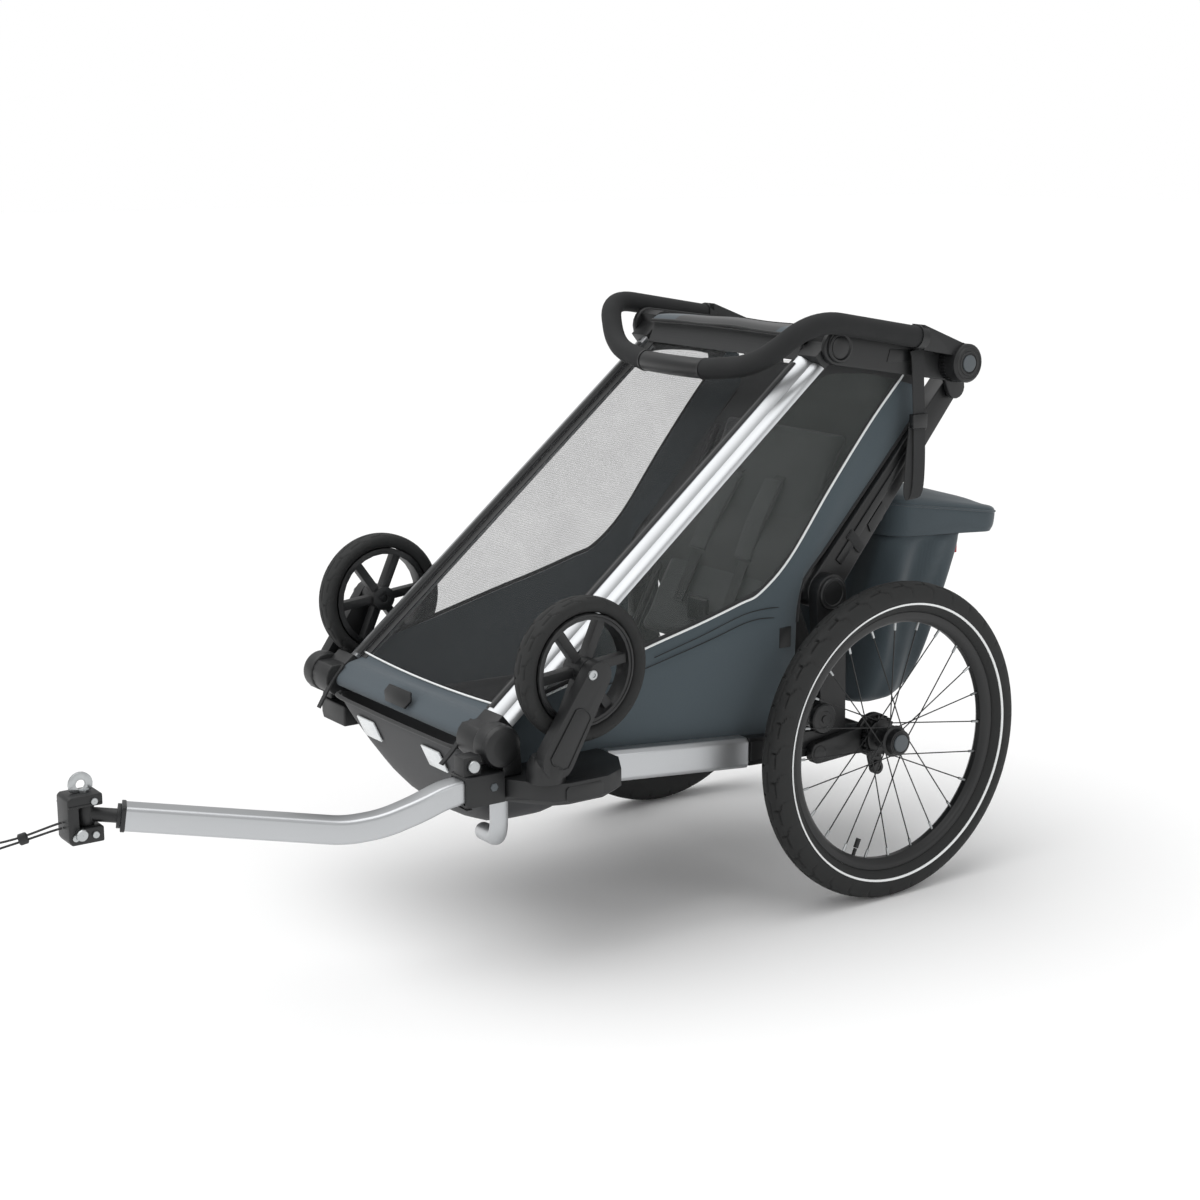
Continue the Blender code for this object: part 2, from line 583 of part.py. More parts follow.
def top_bracket():
    """Side plates from the strut heads to the handlebar joints, with the roof between them."""
    joint("bracket", "fold", at(TOP_PIVOT))
    for side, sign in (("L", 1), ("R", -1)):
        plate = prism_x(capsule(TOP_PIVOT, KNUCKLE, 0.028, 0.030), *BRACKET_X)
        lug = prism_x(capsule(KNUCKLE, REAR_TOP, 0.022, 0.018), *BRACKET_X)
        put(f"bracket_{side}", mirrored(combine(plate, [lug]), sign), "black_plastic", "bracket")

    ridge = [(-0.104, 0.874), (-0.085, 0.882), (-0.020, 0.876), (0.050, 0.855), (0.108, 0.815)]
    rows = []
    for y, z in ridge:
        rows.append([(x, y, z - 0.1 * x * x) for x in (-0.186, -0.120, 0.0, 0.120, 0.186)])
    put("roof_canopy", sheet(rows), "dark_fabric", "bracket", thickness=-0.003)


def handlebar():
    """Foam bar, centre sleeve and the two locking knuckles."""
    joint("handlebar", "bracket", at(KNUCKLE))
    collar_end = (0.070, 0.865)
    for side, sign in (("L", 1), ("R", -1)):
        path = rounded_path([(BAR_X, collar_end[0] - 0.004, collar_end[1]), (0.2590, -0.140, 0.901),
                             (0.180, -0.183, 0.829), (0.0780, -0.198, 0.817)], 0.045, 5)
        grip = tube(path, BAR_R, 12)
        put(f"foam_grip_{side}", mirrored(grip, sign), "black_foam", "handlebar")

        drum = turned([(0.2430, 0.030), (0.2760, 0.030), (0.2790, 0.027), (0.2790, 0.0136), (0.2715, 0.0136)],
                      KNUCKLE, 28)
        arm = prism_x([(collar_end[0], collar_end[1] - 0.019), (0.130, 0.835), (0.158, 0.812), (0.178, 0.842),
                       (0.158, 0.850), (collar_end[0], collar_end[1] + 0.019)], 0.2430, 0.2705)
        put(f"bar_socket_{side}", mirrored(combine(drum, [arm]), sign), "black_plastic", "handlebar")

        joint(f"knuckle_{side}", "handlebar", at(KNUCKLE, sign * 0.278))
        button = turned([(0.2745, 0.0132), (0.2805, 0.0132), (0.2815, 0.012)], KNUCKLE, 20)
        put(f"knuckle_button_{side}", mirrored(button, sign), "button_grey", f"knuckle_{side}")
    centre = [Vector((x, -0.198 - 0.006 * (1 - (x / SLEEVE_HALF) ** 2), 0.817))
              for x in (-SLEEVE_HALF, -0.6 * SLEEVE_HALF, 0, 0.6 * SLEEVE_HALF, SLEEVE_HALF)]
    put("grip_sleeve", tube(centre, BAR_R - 0.0005, 16), "black_plastic", "handlebar")


def rear_frame():
    """Rear posts welded to the upper cross tube."""
    joint("rear_frame", "chassis", at(REAR_PIVOT))
    posts = [mirrored(prism_x(capsule(REAR_PIVOT, REAR_TOP, 0.029, 0.018), *POST_X), sign) for sign in (1, -1)]
    cross = cylinder((-0.20, 0.150, 0.757), (0.20, 0.150, 0.757), 0.010, 12)
    put("rear_frame", combine(cross, posts), "black_plastic", "rear_frame")


def seat_back():
    """Bent-tube back frame and the seat back that reclines on it."""
    joint("back_frame", "chassis", at(SEAT_PIVOT))
    reach = 0.170
    loop = rounded_path([at(on_seat_back(0.40), -reach), at(SEAT_PIVOT, -reach), at(SEAT_PIVOT, reach),
                         at(on_seat_back(0.40), reach)], 0.03, 4)
    rings = []
    for i, point in enumerate(loop):
        forward = (loop[min(i + 1, len(loop) - 1)] - loop[max(i - 1, 0)]).normalized()
        normal = at(on_seat_back(0.0, 1.0)) - at(on_seat_back(0.0, 0.0))
        side = forward.cross(normal).normalized()
        rings.append([point + side * a + normal * b for a, b in circle(0.007, 8)])
    put("back_frame", skin(rings), "black_metal", "back_frame")
    joint("recline", "back_frame", at(SEAT_PIVOT))
    pad = [on_seat_back(0.022, -0.012), on_seat_back(0.425, -0.012), on_seat_back(0.430, 0.004),
           on_seat_back(0.425, 0.012), on_seat_back(0.030, 0.014), on_seat_back(0.022, 0.006)]
    put("seat_back", prism_x(pad, -0.152, 0.152), "seat_fabric", "recline")


# ---- tow arm ------------------------------------------------------------------------------------
def tow_arm():
    """Bent square arm, rolling stub, hitch block, axle plate and the safety cord."""
    joint("tow_arm", "chassis", (RECEIVER_X, -0.692, RECEIVER_Z))
    route = [(RECEIVER_X, -0.6925, RECEIVER_Z), (RECEIVER_X, -0.772, RECEIVER_Z), (0.246, -0.812, 0.279),
             (0.230, -0.858, 0.262), tuple(ARM_BEND), tuple(ARM_END)]
    path = rounded_path(route, 0.020, 3)
    soft = 0.006
    section = []
    for cx, cz, first in ((1, 1, 0), (-1, 1, 90), (-1, -1, 180), (1, -1, 270)):
        for angle in (first + 10, first + 80):
            turn = math.radians(angle)
            section.append((cx * (ARM_HALF - soft) + soft * math.cos(turn),
                            cz * (ARM_HALF - soft) + soft * math.sin(turn)))
    put("tow_arm", sweep(path, section), "aluminium", "tow_arm")

    joint("hitch_roll", "tow_arm", ARM_END)
    stub_start = ARM_END + ARM_DIRECTION * GAP
    cap = cylinder(stub_start, ARM_END + ARM_DIRECTION * 0.005, 0.0165, 16)
    shank = cylinder(stub_start + ARM_DIRECTION * 0.003, HITCH, 0.0095, 14)
    eye = skin([[(HITCH.x + a, HITCH.y + b, HITCH.z + z) for a, b in circle(0.0125, 16)] for z in (-0.013, 0.013)])
    put("hitch_stub", combine(eye, [cap, shank]), "black_plastic", "hitch_roll")

    joint("hitch_yaw", "hitch_roll", HITCH)
    front, rear = HITCH_FRONT_Y, HITCH.y + 0.018
    slot_front = HITCH.y - 0.0145
    top, bottom = HITCH.z + 0.030, HITCH.z - 0.035
    jaws = [(front + 0.004, bottom), (rear, bottom), (rear, HITCH.z - 0.0142), (slot_front, HITCH.z - 0.0142),
            (slot_front, HITCH.z + 0.0142), (rear, HITCH.z + 0.0142), (rear, top), (front + 0.004, top),
            (front, top - 0.004), (front, bottom + 0.006)]
    put("hitch_block", prism_x(jaws, HITCH.x - 0.020, HITCH.x + 0.020), "black_plastic", "hitch_yaw")
    ring_centre = (HITCH.y - 0.004, top + 0.0105)
    plate = [(ring_centre[0] + 0.009, top + GAP)]
    for step in range(15):
        angle = math.radians(-33 + 246 * step / 14)
        plate.append((ring_centre[0] + 0.0165 * math.cos(angle), ring_centre[1] + 0.0165 * math.sin(angle)))
    plate.append((ring_centre[0] - 0.009, top + GAP))
    eyelet = turned([(HITCH.x - 0.01, 0.0065), (HITCH.x + 0.01, 0.0065)], ring_centre, 16)
    plate = combine(prism_x(plate, HITCH.x - 0.002, HITCH.x + 0.002), [eyelet], "DIFFERENCE")
    put("axle_plate", plate, "steel", "hitch_yaw")


def safety_cord():
    """Stiff looped safety cord: out of the hitch block, round its far loop and back, with its toggle."""
    exit_low = Vector((HITCH.x - 0.002, HITCH_FRONT_Y - 0.001, HITCH.z - 0.0145))
    # one strand out along the lower side, the open loop at the end, and the upper strand back
    route = [exit_low, exit_low + Vector((-0.005, -0.014, -0.0035)), exit_low + Vector((-0.018, -0.046, -0.0135)),
             exit_low + Vector((-0.031, -0.075, -0.0225)), exit_low + Vector((-0.043, -0.103, -0.0320)),
             exit_low + Vector((-0.050, -0.120, -0.0350)), exit_low + Vector((-0.0545, -0.1305, -0.0310)),
             exit_low + Vector((-0.0560, -0.1340, -0.0240)), exit_low + Vector((-0.0540, -0.1290, -0.0170)),
             exit_low + Vector((-0.0490, -0.1170, -0.0150)), exit_low + Vector((-0.042, -0.101, -0.0170)),
             exit_low + Vector((-0.031, -0.0745, -0.0145)), exit_low + Vector((-0.018, -0.0455, -0.0075)),
             exit_low + Vector((-0.005, -0.0135, 0.0035)), exit_low + Vector((0.0, 0.0, 0.0075))]
    points = spline(route, 3)
    curve = bpy.data.curves.new("safety_cord", "CURVE")
    curve.dimensions = "3D"
    curve.bevel_depth = CORD_R
    curve.bevel_resolution = 2
    curve.use_fill_caps = True
    line = curve.splines.new("POLY")
    line.points.add(len(points) - 1)
    for point, place in zip(line.points, points):
        point.co = (*(place - pivots["hitch_yaw"]), 1)
    curve.materials.append(material("webbing"))
    cord = bpy.data.objects.new("safety_cord", curve)
    bpy.context.collection.objects.link(cord)
    cord.parent = bpy.data.objects["hitch_yaw_pivot"]

    low, high = route[2], route[-3]
    heading = (route[3] - route[1]).normalized()
    middle = (low + high) / 2
    rise = Vector((0, 0, 1)).cross(heading).cross(-heading).normalized()
    side = heading.cross(rise).normalized()
    rings = []
    for shift, half in ((-0.006, 0.0055), (-0.0045, 0.0070), (0.0045, 0.0070), (0.006, 0.0055)):
        rings.append([middle + heading * shift + side * (0.75 * half * math.cos(math.tau * i / 12))
                      + rise * (1.15 * half * math.sin(math.tau * i / 12)) for i in range(12)])
    holes = []
    for strand in (low, high):
        holes.append(tube([strand - heading * 0.02, strand + heading * 0.02], CORD_R + 0.0006, 12))
    put("cord_toggle", combine(skin(rings), holes, "DIFFERENCE"), "black_plastic", "hitch_yaw")


def build():
    for item in list(bpy.data.objects):
        bpy.data.objects.remove(item)
    joint("chassis", None, (0, 0, 0))
    joint("fold", "chassis", at(FRONT_PIVOT))
    floor_tub()
    chassis_sides()
    rear_chassis()
    cabin_sides()
    cargo_bag()
    seat_base()
    arm_receiver()
    brake_pedal()
    main_wheels()
    stroller_wheels()
    front_frame()
    top_bracket()
    handlebar()
    rear_frame()
    seat_back()
    tow_arm()
    safety_cord()


build()
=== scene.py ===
"""Visual model of a folding single-seat child bicycle trailer, built around its packed frame.

Side-view points are (y, z) in metres from the ground under the main axle; spot() places them in the scene.
Pieces are made for the trailer's left side (+X) and copied to its right.
"""
import json
import math

import bpy
from mathutils import Matrix, Vector

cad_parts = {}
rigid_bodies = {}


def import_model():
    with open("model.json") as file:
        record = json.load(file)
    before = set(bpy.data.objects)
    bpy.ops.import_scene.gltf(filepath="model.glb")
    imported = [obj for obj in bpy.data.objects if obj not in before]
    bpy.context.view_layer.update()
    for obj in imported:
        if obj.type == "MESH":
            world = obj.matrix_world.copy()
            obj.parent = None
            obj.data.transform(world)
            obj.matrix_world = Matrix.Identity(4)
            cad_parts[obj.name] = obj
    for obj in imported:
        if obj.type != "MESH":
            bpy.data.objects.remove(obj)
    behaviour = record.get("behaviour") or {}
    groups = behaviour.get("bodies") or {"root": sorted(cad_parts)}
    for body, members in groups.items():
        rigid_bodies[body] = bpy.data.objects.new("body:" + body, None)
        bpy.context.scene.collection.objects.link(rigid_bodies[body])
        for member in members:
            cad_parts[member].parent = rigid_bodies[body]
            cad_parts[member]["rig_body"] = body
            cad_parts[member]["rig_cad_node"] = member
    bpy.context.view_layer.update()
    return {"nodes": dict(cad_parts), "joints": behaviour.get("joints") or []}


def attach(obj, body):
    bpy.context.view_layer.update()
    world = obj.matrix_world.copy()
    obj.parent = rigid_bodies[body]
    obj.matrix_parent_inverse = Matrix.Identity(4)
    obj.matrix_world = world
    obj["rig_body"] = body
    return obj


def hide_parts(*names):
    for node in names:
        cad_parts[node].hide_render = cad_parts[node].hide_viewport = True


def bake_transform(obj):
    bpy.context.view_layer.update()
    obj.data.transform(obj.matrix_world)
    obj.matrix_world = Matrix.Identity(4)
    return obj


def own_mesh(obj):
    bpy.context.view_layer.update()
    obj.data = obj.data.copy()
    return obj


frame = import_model()

bl_info = {
    "name": "Child bicycle trailer",
    "version": (1, 0, 0),
    "blender": (4, 2, 0),
    "location": "3D View > Sidebar > Trailer",
    "description": "Builds the visible pieces of a folding child bicycle trailer",
    "category": "Add Mesh",
}

JOINTS = {joint["name"]: joint for joint in frame["joints"]}
AXLE_Y = JOINTS["wheel_spin_left"]["pos_m"][1]
SIDES = (("L", "left"), ("R", "right"))


def pivot(name):
    """Side-view point of a joint's axis."""
    place = JOINTS[name]["pos_m"]
    return place[1] - AXLE_Y, place[2]


FRONT = pivot("frame_fold")             # strut foot
TOP = pivot("top_bracket_fold")         # strut head
REAR = pivot("rear_frame_fold")         # rear post foot
SEAT = pivot("back_frame_fold")         # lower edge of the seat back
KNUCKLE = pivot("handlebar_turn")       # handlebar joint
SWING = pivot("suspension_left")        # suspension arm
AXLE = pivot("wheel_spin_left")
STROLLER_AXLE = pivot("stroller_wheel_spin_left")
REAR_TOP = (0.170, 0.780)               # rear post's upper end
WHEEL_X = 0.300                         # main wheel's centre plane
WALL_X = 0.217                          # cabin side wall's middle
POST_FACE = 0.2296                      # rear posts' outer face
SEAT_LEAN = math.radians(62)            # seat back's slope
MERGE = 1e-5                            # points closer than this become one

# frame slot and finish of each kind of part
PLASTIC = ("black_plastic", "smooth_polyamide")
MOULDED = ("black_plastic", "moulded_polyamide")
BLACK_CAP = ("black_metal", "smooth_polyamide")
COATED = ("black_metal", "powder_coat")
STEEL = ("steel", "zinc_plated_steel")
ALUMINIUM = ("aluminium", "anodised_aluminium")
RUBBER = ("rubber", "tyre_rubber")
TAPE = ("reflector", "retroreflective_tape")
HEM = ("dark_fabric", "hem_polyester")
WEBBING = ("webbing", "webbing_polyester")
SEAT_CLOTH = ("seat_fabric", "seat_polyester")
BAG_CLOTH = ("side_fabric", "bag_polyester")


# ---- places ------------------------------------------------------------------------------------
def spot(x, y, z):
    return Vector((x, y + AXLE_Y, z))


def along(start, end, distance, offset=0.0):
    """Side-view point a distance from start towards end, and an offset to its upper side."""
    heading = Vector((end[0] - start[0], end[1] - start[1])).normalized()
    return (start[0] + heading.x * distance - heading.y * offset,
            start[1] + heading.y * distance + heading.x * offset)


def on_strut(distance, offset=0.0):
    return along(FRONT, TOP, distance, offset)


def on_post(distance, offset=0.0):
    return along(REAR, REAR_TOP, distance, offset)


def on_seat_back(distance, offset=0.0):
    return along(SEAT, (SEAT[0] + math.cos(SEAT_LEAN), SEAT[1] + math.sin(SEAT_LEAN)), distance, offset)


def smooth_line(points, steps):
    """A smooth line through the points, with this many steps in each stretch."""
    points = [Vector(point) for point in points]
    padded = [2 * points[0] - points[1], *points, 2 * points[-1] - points[-2]]
    line = []
    for a, b, c, d in zip(padded, padded[1:], padded[2:], padded[3:]):
        for step in range(steps):
            t = step / steps
            line.append(0.5 * (2 * b + (c - a) * t + (2 * a - 5 * b + 4 * c - d) * t * t
                               + (3 * b - a - 3 * c + d) * t * t * t))
    return [*line, points[-1]]


def rounded_line(points, radius, steps=6):
    """A line whose inner corners are curves that start a radius away from the corner."""
    points = [Vector(point) for point in points]
    line = [points[0]]
    for before, corner, after in zip(points, points[1:], points[2:]):
        start = corner + (before - corner).normalized() * radius
        end = corner + (after - corner).normalized() * radius
        for step in range(steps + 1):
            t = step / steps
            line.append(start.lerp(corner, t).lerp(corner.lerp(end, t), t))
    line.append(points[-1])
    return line


def at_share(line, share):
    """The point that lies this share of the way along a line."""
    lengths = [0.0]
    for a, b in zip(line, line[1:]):
        lengths.append(lengths[-1] + (b - a).length)
    target = share * lengths[-1]
    for i in range(1, len(line)):
        if lengths[i] >= target - 1e-9:
            part = lengths[i] - lengths[i - 1]
            return line[i - 1].lerp(line[i], (target - lengths[i - 1]) / part if part else 0)
    return line[-1]


# ---- finishes ----------------------------------------------------------------------------------
def srgb(code):
    """A hex colour as linear red, green, blue and alpha."""
    channels = [int(code[i:i + 2], 16) / 255 for i in (0, 2, 4)]
    return (*[c / 12.92 if c <= 0.04045 else ((c + 0.055) / 1.055) ** 2.4 for c in channels], 1)


def shade(code, share):
    """A hex colour made this much lighter or darker."""
    return tuple(min(1, c * share) for c in srgb(code)[:3]) + (1,)


def add(tree, kind, settings=None, links=None):
    """Adds one node: settings are its properties and input values, links its input sockets' sources."""
    made = tree.nodes.new(kind)
    for name, value in (settings or {}).items():
        if isinstance(name, int) or name in made.inputs:
            made.inputs[name].default_value = value
        else:
            setattr(made, name, value)
    for name, source in (links or {}).items():
        tree.links.new(source, made.inputs[name])
    return made


MM = 0.001
finishes = {}


def start(name):
    made = bpy.data.materials.new(name)
    made.use_nodes = True
    tree = made.node_tree
    shader = tree.nodes["Principled BSDF"]
    finishes[name] = made
    place = add(tree, "ShaderNodeTexCoord").outputs["Object"]
    return made, tree, shader, place


def surface(name, code, roughness, metallic=0.0, grain=0.4, grain_height=0.02, vary=0.12, blotch=60.0):
    """A moulded, coated or metal surface: grain and blotch are in millimetres."""
    made, tree, shader, place = start(name)
    shader.inputs["Metallic"].default_value = metallic
    cloud = add(tree, "ShaderNodeTexNoise", {"Scale": 1 / (blotch * MM), "Detail": 4.0}, {"Vector": place})
    fine = add(tree, "ShaderNodeTexNoise", {"Scale": 1 / (grain * MM), "Detail": 2.0}, {"Vector": place})
    dark, light = shade(code, 1 - vary), shade(code, 1 + vary)
    colour = add(tree, "ShaderNodeMix", {"data_type": "RGBA", 6: dark, 7: light}, {0: cloud.outputs[0]})
    tree.links.new(colour.outputs[2], shader.inputs["Base Color"])
    rough = add(tree, "ShaderNodeMapRange", {"To Min": roughness - 0.08, "To Max": roughness + 0.08},
                {"Value": cloud.outputs[0]})
    tree.links.new(rough.outputs[0], shader.inputs["Roughness"])
    bump = add(tree, "ShaderNodeBump", {"Strength": 0.6, "Distance": grain_height * MM},
               {"Height": fine.outputs[0]})
    tree.links.new(bump.outputs[0], shader.inputs["Normal"])
    return made


def cloth(name, code, threads=1.6, across=("X", "Z"), vary=0.16, sheen=0.25, roughness=0.85, height=0.12,
          alpha=None):
    """Woven cloth with its threads this many millimetres apart, seen as a fine rib with heathered yarn."""
    made, tree, shader, place = start(name)
    shader.inputs["Sheen Weight"].default_value = sheen
    shader.inputs["Sheen Roughness"].default_value = 0.5
    shader.inputs["Roughness"].default_value = roughness
    # a wave texture repeats every 0.314 / scale metres
    waves = [add(tree, "ShaderNodeTexWave", {"bands_direction": axis, "Scale": 0.314 / (threads * MM),
                                             "Distortion": 0.6, "Detail": 1.0}, {"Vector": place})
             for axis in across]
    weave = add(tree, "ShaderNodeMath", {"operation": "MULTIPLY"},
                {0: waves[0].outputs["Fac"], 1: waves[1].outputs["Fac"]})
    yarn = add(tree, "ShaderNodeTexNoise", {"Scale": 1 / (2.2 * MM), "Detail": 3.0}, {"Vector": place})
    cloud = add(tree, "ShaderNodeTexNoise", {"Scale": 1 / (90 * MM), "Detail": 3.0}, {"Vector": place})
    both = add(tree, "ShaderNodeMath", {"operation": "MULTIPLY_ADD", 1: 0.45}, {0: weave.outputs[0]})
    part = add(tree, "ShaderNodeMath", {"operation": "MULTIPLY_ADD", 1: 0.55}, {0: yarn.outputs[0]})
    patches = add(tree, "ShaderNodeMath", {"operation": "MULTIPLY", 1: 0.35}, {0: cloud.outputs[0]})
    tree.links.new(patches.outputs[0], part.inputs[2])
    tree.links.new(part.outputs[0], both.inputs[2])
    dark, light = shade(code, 1 - vary), shade(code, 1 + vary)
    colour = add(tree, "ShaderNodeMix", {"data_type": "RGBA", 6: dark, 7: light}, {0: both.outputs[0]})
    tree.links.new(colour.outputs[2], shader.inputs["Base Color"])
    bump = add(tree, "ShaderNodeBump", {"Strength": 0.7, "Distance": height * MM},
               {"Height": both.outputs[0]})
    tree.links.new(bump.outputs[0], shader.inputs["Normal"])
    if alpha:
        hole = add(tree, "ShaderNodeMapRange", {"To Min": alpha[1], "To Max": alpha[0]},
                   {"Value": weave.outputs[0]})
        tree.links.new(hole.outputs[0], shader.inputs["Alpha"])
    return made


def brushed(name, code, roughness, direction):
    """Extruded and anodised aluminium: fine lines along the part, satin sheen."""
    made, tree, shader, place = start(name)
    shader.inputs["Metallic"].default_value = 1.0
    shader.inputs["Roughness"].default_value = roughness
    stretched = add(tree, "ShaderNodeMapping", {"Scale": direction}, {"Vector": place})
    lines = add(tree, "ShaderNodeTexNoise", {"Scale": 1 / (0.8 * MM), "Detail": 3.0},
                {"Vector": stretched.outputs[0]})
    cloud = add(tree, "ShaderNodeTexNoise", {"Scale": 1 / (120 * MM), "Detail": 3.0}, {"Vector": place})
    colour = add(tree, "ShaderNodeMix", {"data_type": "RGBA", 6: shade(code, 0.93), 7: srgb(code)},
                 {0: lines.outputs[0]})
    tree.links.new(colour.outputs[2], shader.inputs["Base Color"])
    rough = add(tree, "ShaderNodeMapRange", {"To Min": roughness - 0.06, "To Max": roughness + 0.08},
                {"Value": cloud.outputs[0]})
    tree.links.new(rough.outputs[0], shader.inputs["Roughness"])
    bump = add(tree, "ShaderNodeBump", {"Strength": 0.25, "Distance": 0.02 * MM},
               {"Height": lines.outputs[0]})
    tree.links.new(bump.outputs[0], shader.inputs["Normal"])
    return made


def film(name, code, alpha, roughness):
    """Flexible clear PVC window film with faint rolls and creases in it."""
    made, tree, shader, place = start(name)
    shader.inputs["Base Color"].default_value = srgb(code)
    shader.inputs["IOR"].default_value = 1.52
    cloud = add(tree, "ShaderNodeTexNoise", {"Scale": 1 / (110 * MM), "Detail": 2.0, "Distortion": 0.8},
                {"Vector": place})
    rough = add(tree, "ShaderNodeMapRange", {"To Min": roughness * 0.6, "To Max": roughness * 1.5},
                {"Value": cloud.outputs[0]})
    tree.links.new(rough.outputs[0], shader.inputs["Roughness"])
    seen = add(tree, "ShaderNodeMapRange", {"To Min": alpha - 0.05, "To Max": alpha + 0.05},
               {"Value": cloud.outputs[0]})
    tree.links.new(seen.outputs[0], shader.inputs["Alpha"])
    bump = add(tree, "ShaderNodeBump", {"Strength": 0.8, "Distance": 3.0 * MM}, {"Height": cloud.outputs[0]})
    tree.links.new(bump.outputs[0], shader.inputs["Normal"])
    return made


def make_finishes(colours):
    """All finishes of the trailer, each named for the real material."""
    # clear-anodised aluminium extrusions, satin with lines along the draw
    brushed("anodised_aluminium", "BFC1C3", 0.38, (8.0, 0.35, 0.35))
    # zinc-plated steel, slightly bluish and cloudy
    surface("zinc_plated_steel", "B4B7B8", 0.30, 1.0, grain=1.2, grain_height=0.02, blotch=12)
    # glass-filled polyamide, spark-eroded mould texture, semi-matt
    surface("moulded_polyamide", "191A1B", 0.46, 0.0, grain=0.9, grain_height=0.05, vary=0.10, blotch=35)
    # the same polyamide with a smoother skin on knobs and caps
    surface("smooth_polyamide", "161718", 0.38, 0.0, grain=1.5, grain_height=0.02, vary=0.10, blotch=30)
    surface("grey_polyamide", "50565A", 0.48, 0.0, grain=0.9, grain_height=0.04, blotch=20)
    # black powder coat over steel or aluminium, fine orange peel
    surface("powder_coat", "111213", 0.40, 0.0, grain=1.4, grain_height=0.05, blotch=40)
    # natural rubber tyre, dusty matt
    surface("tyre_rubber", "1A1B1B", 0.74, 0.0, grain=0.8, grain_height=0.06, vary=0.15, blotch=25)
    # closed-cell EVA foam grip, matt with fine cells
    surface("eva_foam", "1A1B1C", 0.82, 0.0, grain=0.8, grain_height=0.12, vary=0.12, blotch=30)
    surface("retroreflective_tape", "EEF0F0", 0.40, 0.0, grain=1.0, grain_height=0.02, vary=0.03)
    # acrylic reflector: prisms behind a glossy face
    surface("acrylic_reflector", "E4E7E8", 0.12, 0.0, grain=2.2, grain_height=0.35, vary=0.10, blotch=5)
    surface("red_label", "A8262C", 0.6, 0.0)
    surface("stitching_yarn", "1C1D1E", 0.8, 0.0, grain=0.8, grain_height=0.1)
    cloth("side_polyester", colours.side_cloth, across=("Y", "Z"))
    cloth("panel_polyester", colours.panel_cloth, across=("X", "Z"))
    cloth("bag_polyester", colours.bag_cloth, across=("X", "Z"))
    cloth("coated_nose_cloth", colours.nose_cloth, across=("X", "Z"), sheen=0.1, roughness=0.7)
    cloth("roof_polyester", "2A2B2C", across=("X", "Y"))
    cloth("lining_polyester", "303132", across=("X", "Z"), vary=0.06, height=0.04)
    cloth("seat_polyester", "353738", threads=2.2, across=("X", "Z"), vary=0.06, height=0.06)
    cloth("hem_polyester", "1D1E1F", threads=1.6, across=("X", "Z"))
    cloth("webbing_polyester", "1F2021", threads=2.4, across=("X", "Z"), height=0.3, sheen=0.15)
    # open mesh cloth: the holes let a third to two thirds of the light through
    cloth("insect_mesh", "404142", threads=2.6, across=("X", "Z"), alpha=(0.08, 0.19), sheen=0.1)
    film("window_film", "5A5F5D", 0.16, 0.16)
    surface("cord_braid", "2A2A2B", 0.75, 0.0, grain=1.0, grain_height=0.15)


# ---- shaping -----------------------------------------------------------------------------------
def clear():
    if bpy.context.object and bpy.context.object.mode != "OBJECT":
        bpy.ops.object.mode_set(mode="OBJECT")
    bpy.ops.object.select_all(action="DESELECT")


def pick(piece):
    clear()
    piece.select_set(True)
    bpy.context.view_layer.objects.active = piece


def modify(piece, kind, **settings):
    """Adds a modifier and applies it."""
    pick(piece)
    made = piece.modifiers.new(kind.lower(), kind)
    for name, value in settings.items():
        setattr(made, name, value)
    bpy.ops.object.modifier_apply(modifier=made.name)
    return piece


def round_edges(piece, width, segments=2, angle=35):
    return modify(piece, "BEVEL", width=width, segments=segments, limit_method="ANGLE",
                  angle_limit=math.radians(angle))


def edit(piece):
    pick(piece)
    bpy.ops.object.mode_set(mode="EDIT")
    bpy.ops.mesh.select_all(action="SELECT")


def outward(piece):
    """Merges a shape's seams and points its faces outwards."""
    edit(piece)
    bpy.ops.mesh.remove_doubles(threshold=MERGE)
    bpy.ops.mesh.normals_make_consistent(inside=False)
    bpy.ops.object.mode_set(mode="OBJECT")
    return piece


def closed_up(piece):
    """Fills a shape's open ends."""
    edit(piece)
    bpy.ops.mesh.remove_doubles(threshold=MERGE)
    bpy.ops.mesh.fill_holes(sides=400)
    bpy.ops.object.mode_set(mode="OBJECT")
    return outward(piece)


def grid(columns, rows, place, size=(1.0, 1.0)):
    """A grid whose points are put where place(u, w) says, with UVs in metres."""
    clear()
    bpy.ops.mesh.primitive_grid_add(x_subdivisions=columns, y_subdivisions=rows, size=1)
    piece = bpy.context.object
    shares = [(v.co.x + 0.5, v.co.y + 0.5) for v in piece.data.vertices]
    for vertex, (u, w) in zip(piece.data.vertices, shares):
        vertex.co = place(u, w)
    layer = piece.data.uv_layers.active
    for loop in layer.data:
        loop.uv = (loop.uv[0] * size[0], loop.uv[1] * size[1])
    piece.data.update()
    return piece


def walled(columns, rows, place, thickness):
    """A grid with a wall of this thickness."""
    piece = grid(columns, rows, place)
    modify(piece, "SOLIDIFY", thickness=thickness, offset=0)
    return outward(piece)


def slab(outline, x_from, x_to, bevel=0.0, segments=2):
    """A side-view outline made into a plate across X, with its edges rounded."""
    clear()
    bpy.ops.mesh.primitive_circle_add(vertices=len(outline), radius=1, fill_type="NGON")
    piece = bpy.context.object
    for vertex, (y, z) in zip(piece.data.vertices, outline):
        vertex.co = spot(x_from, y, z)
    edit(piece)
    bpy.ops.mesh.extrude_region_move(TRANSFORM_OT_translate={"value": (x_to - x_from, 0, 0)})
    outward(piece)
    if bevel:
        round_edges(piece, bevel, segments)
    return piece


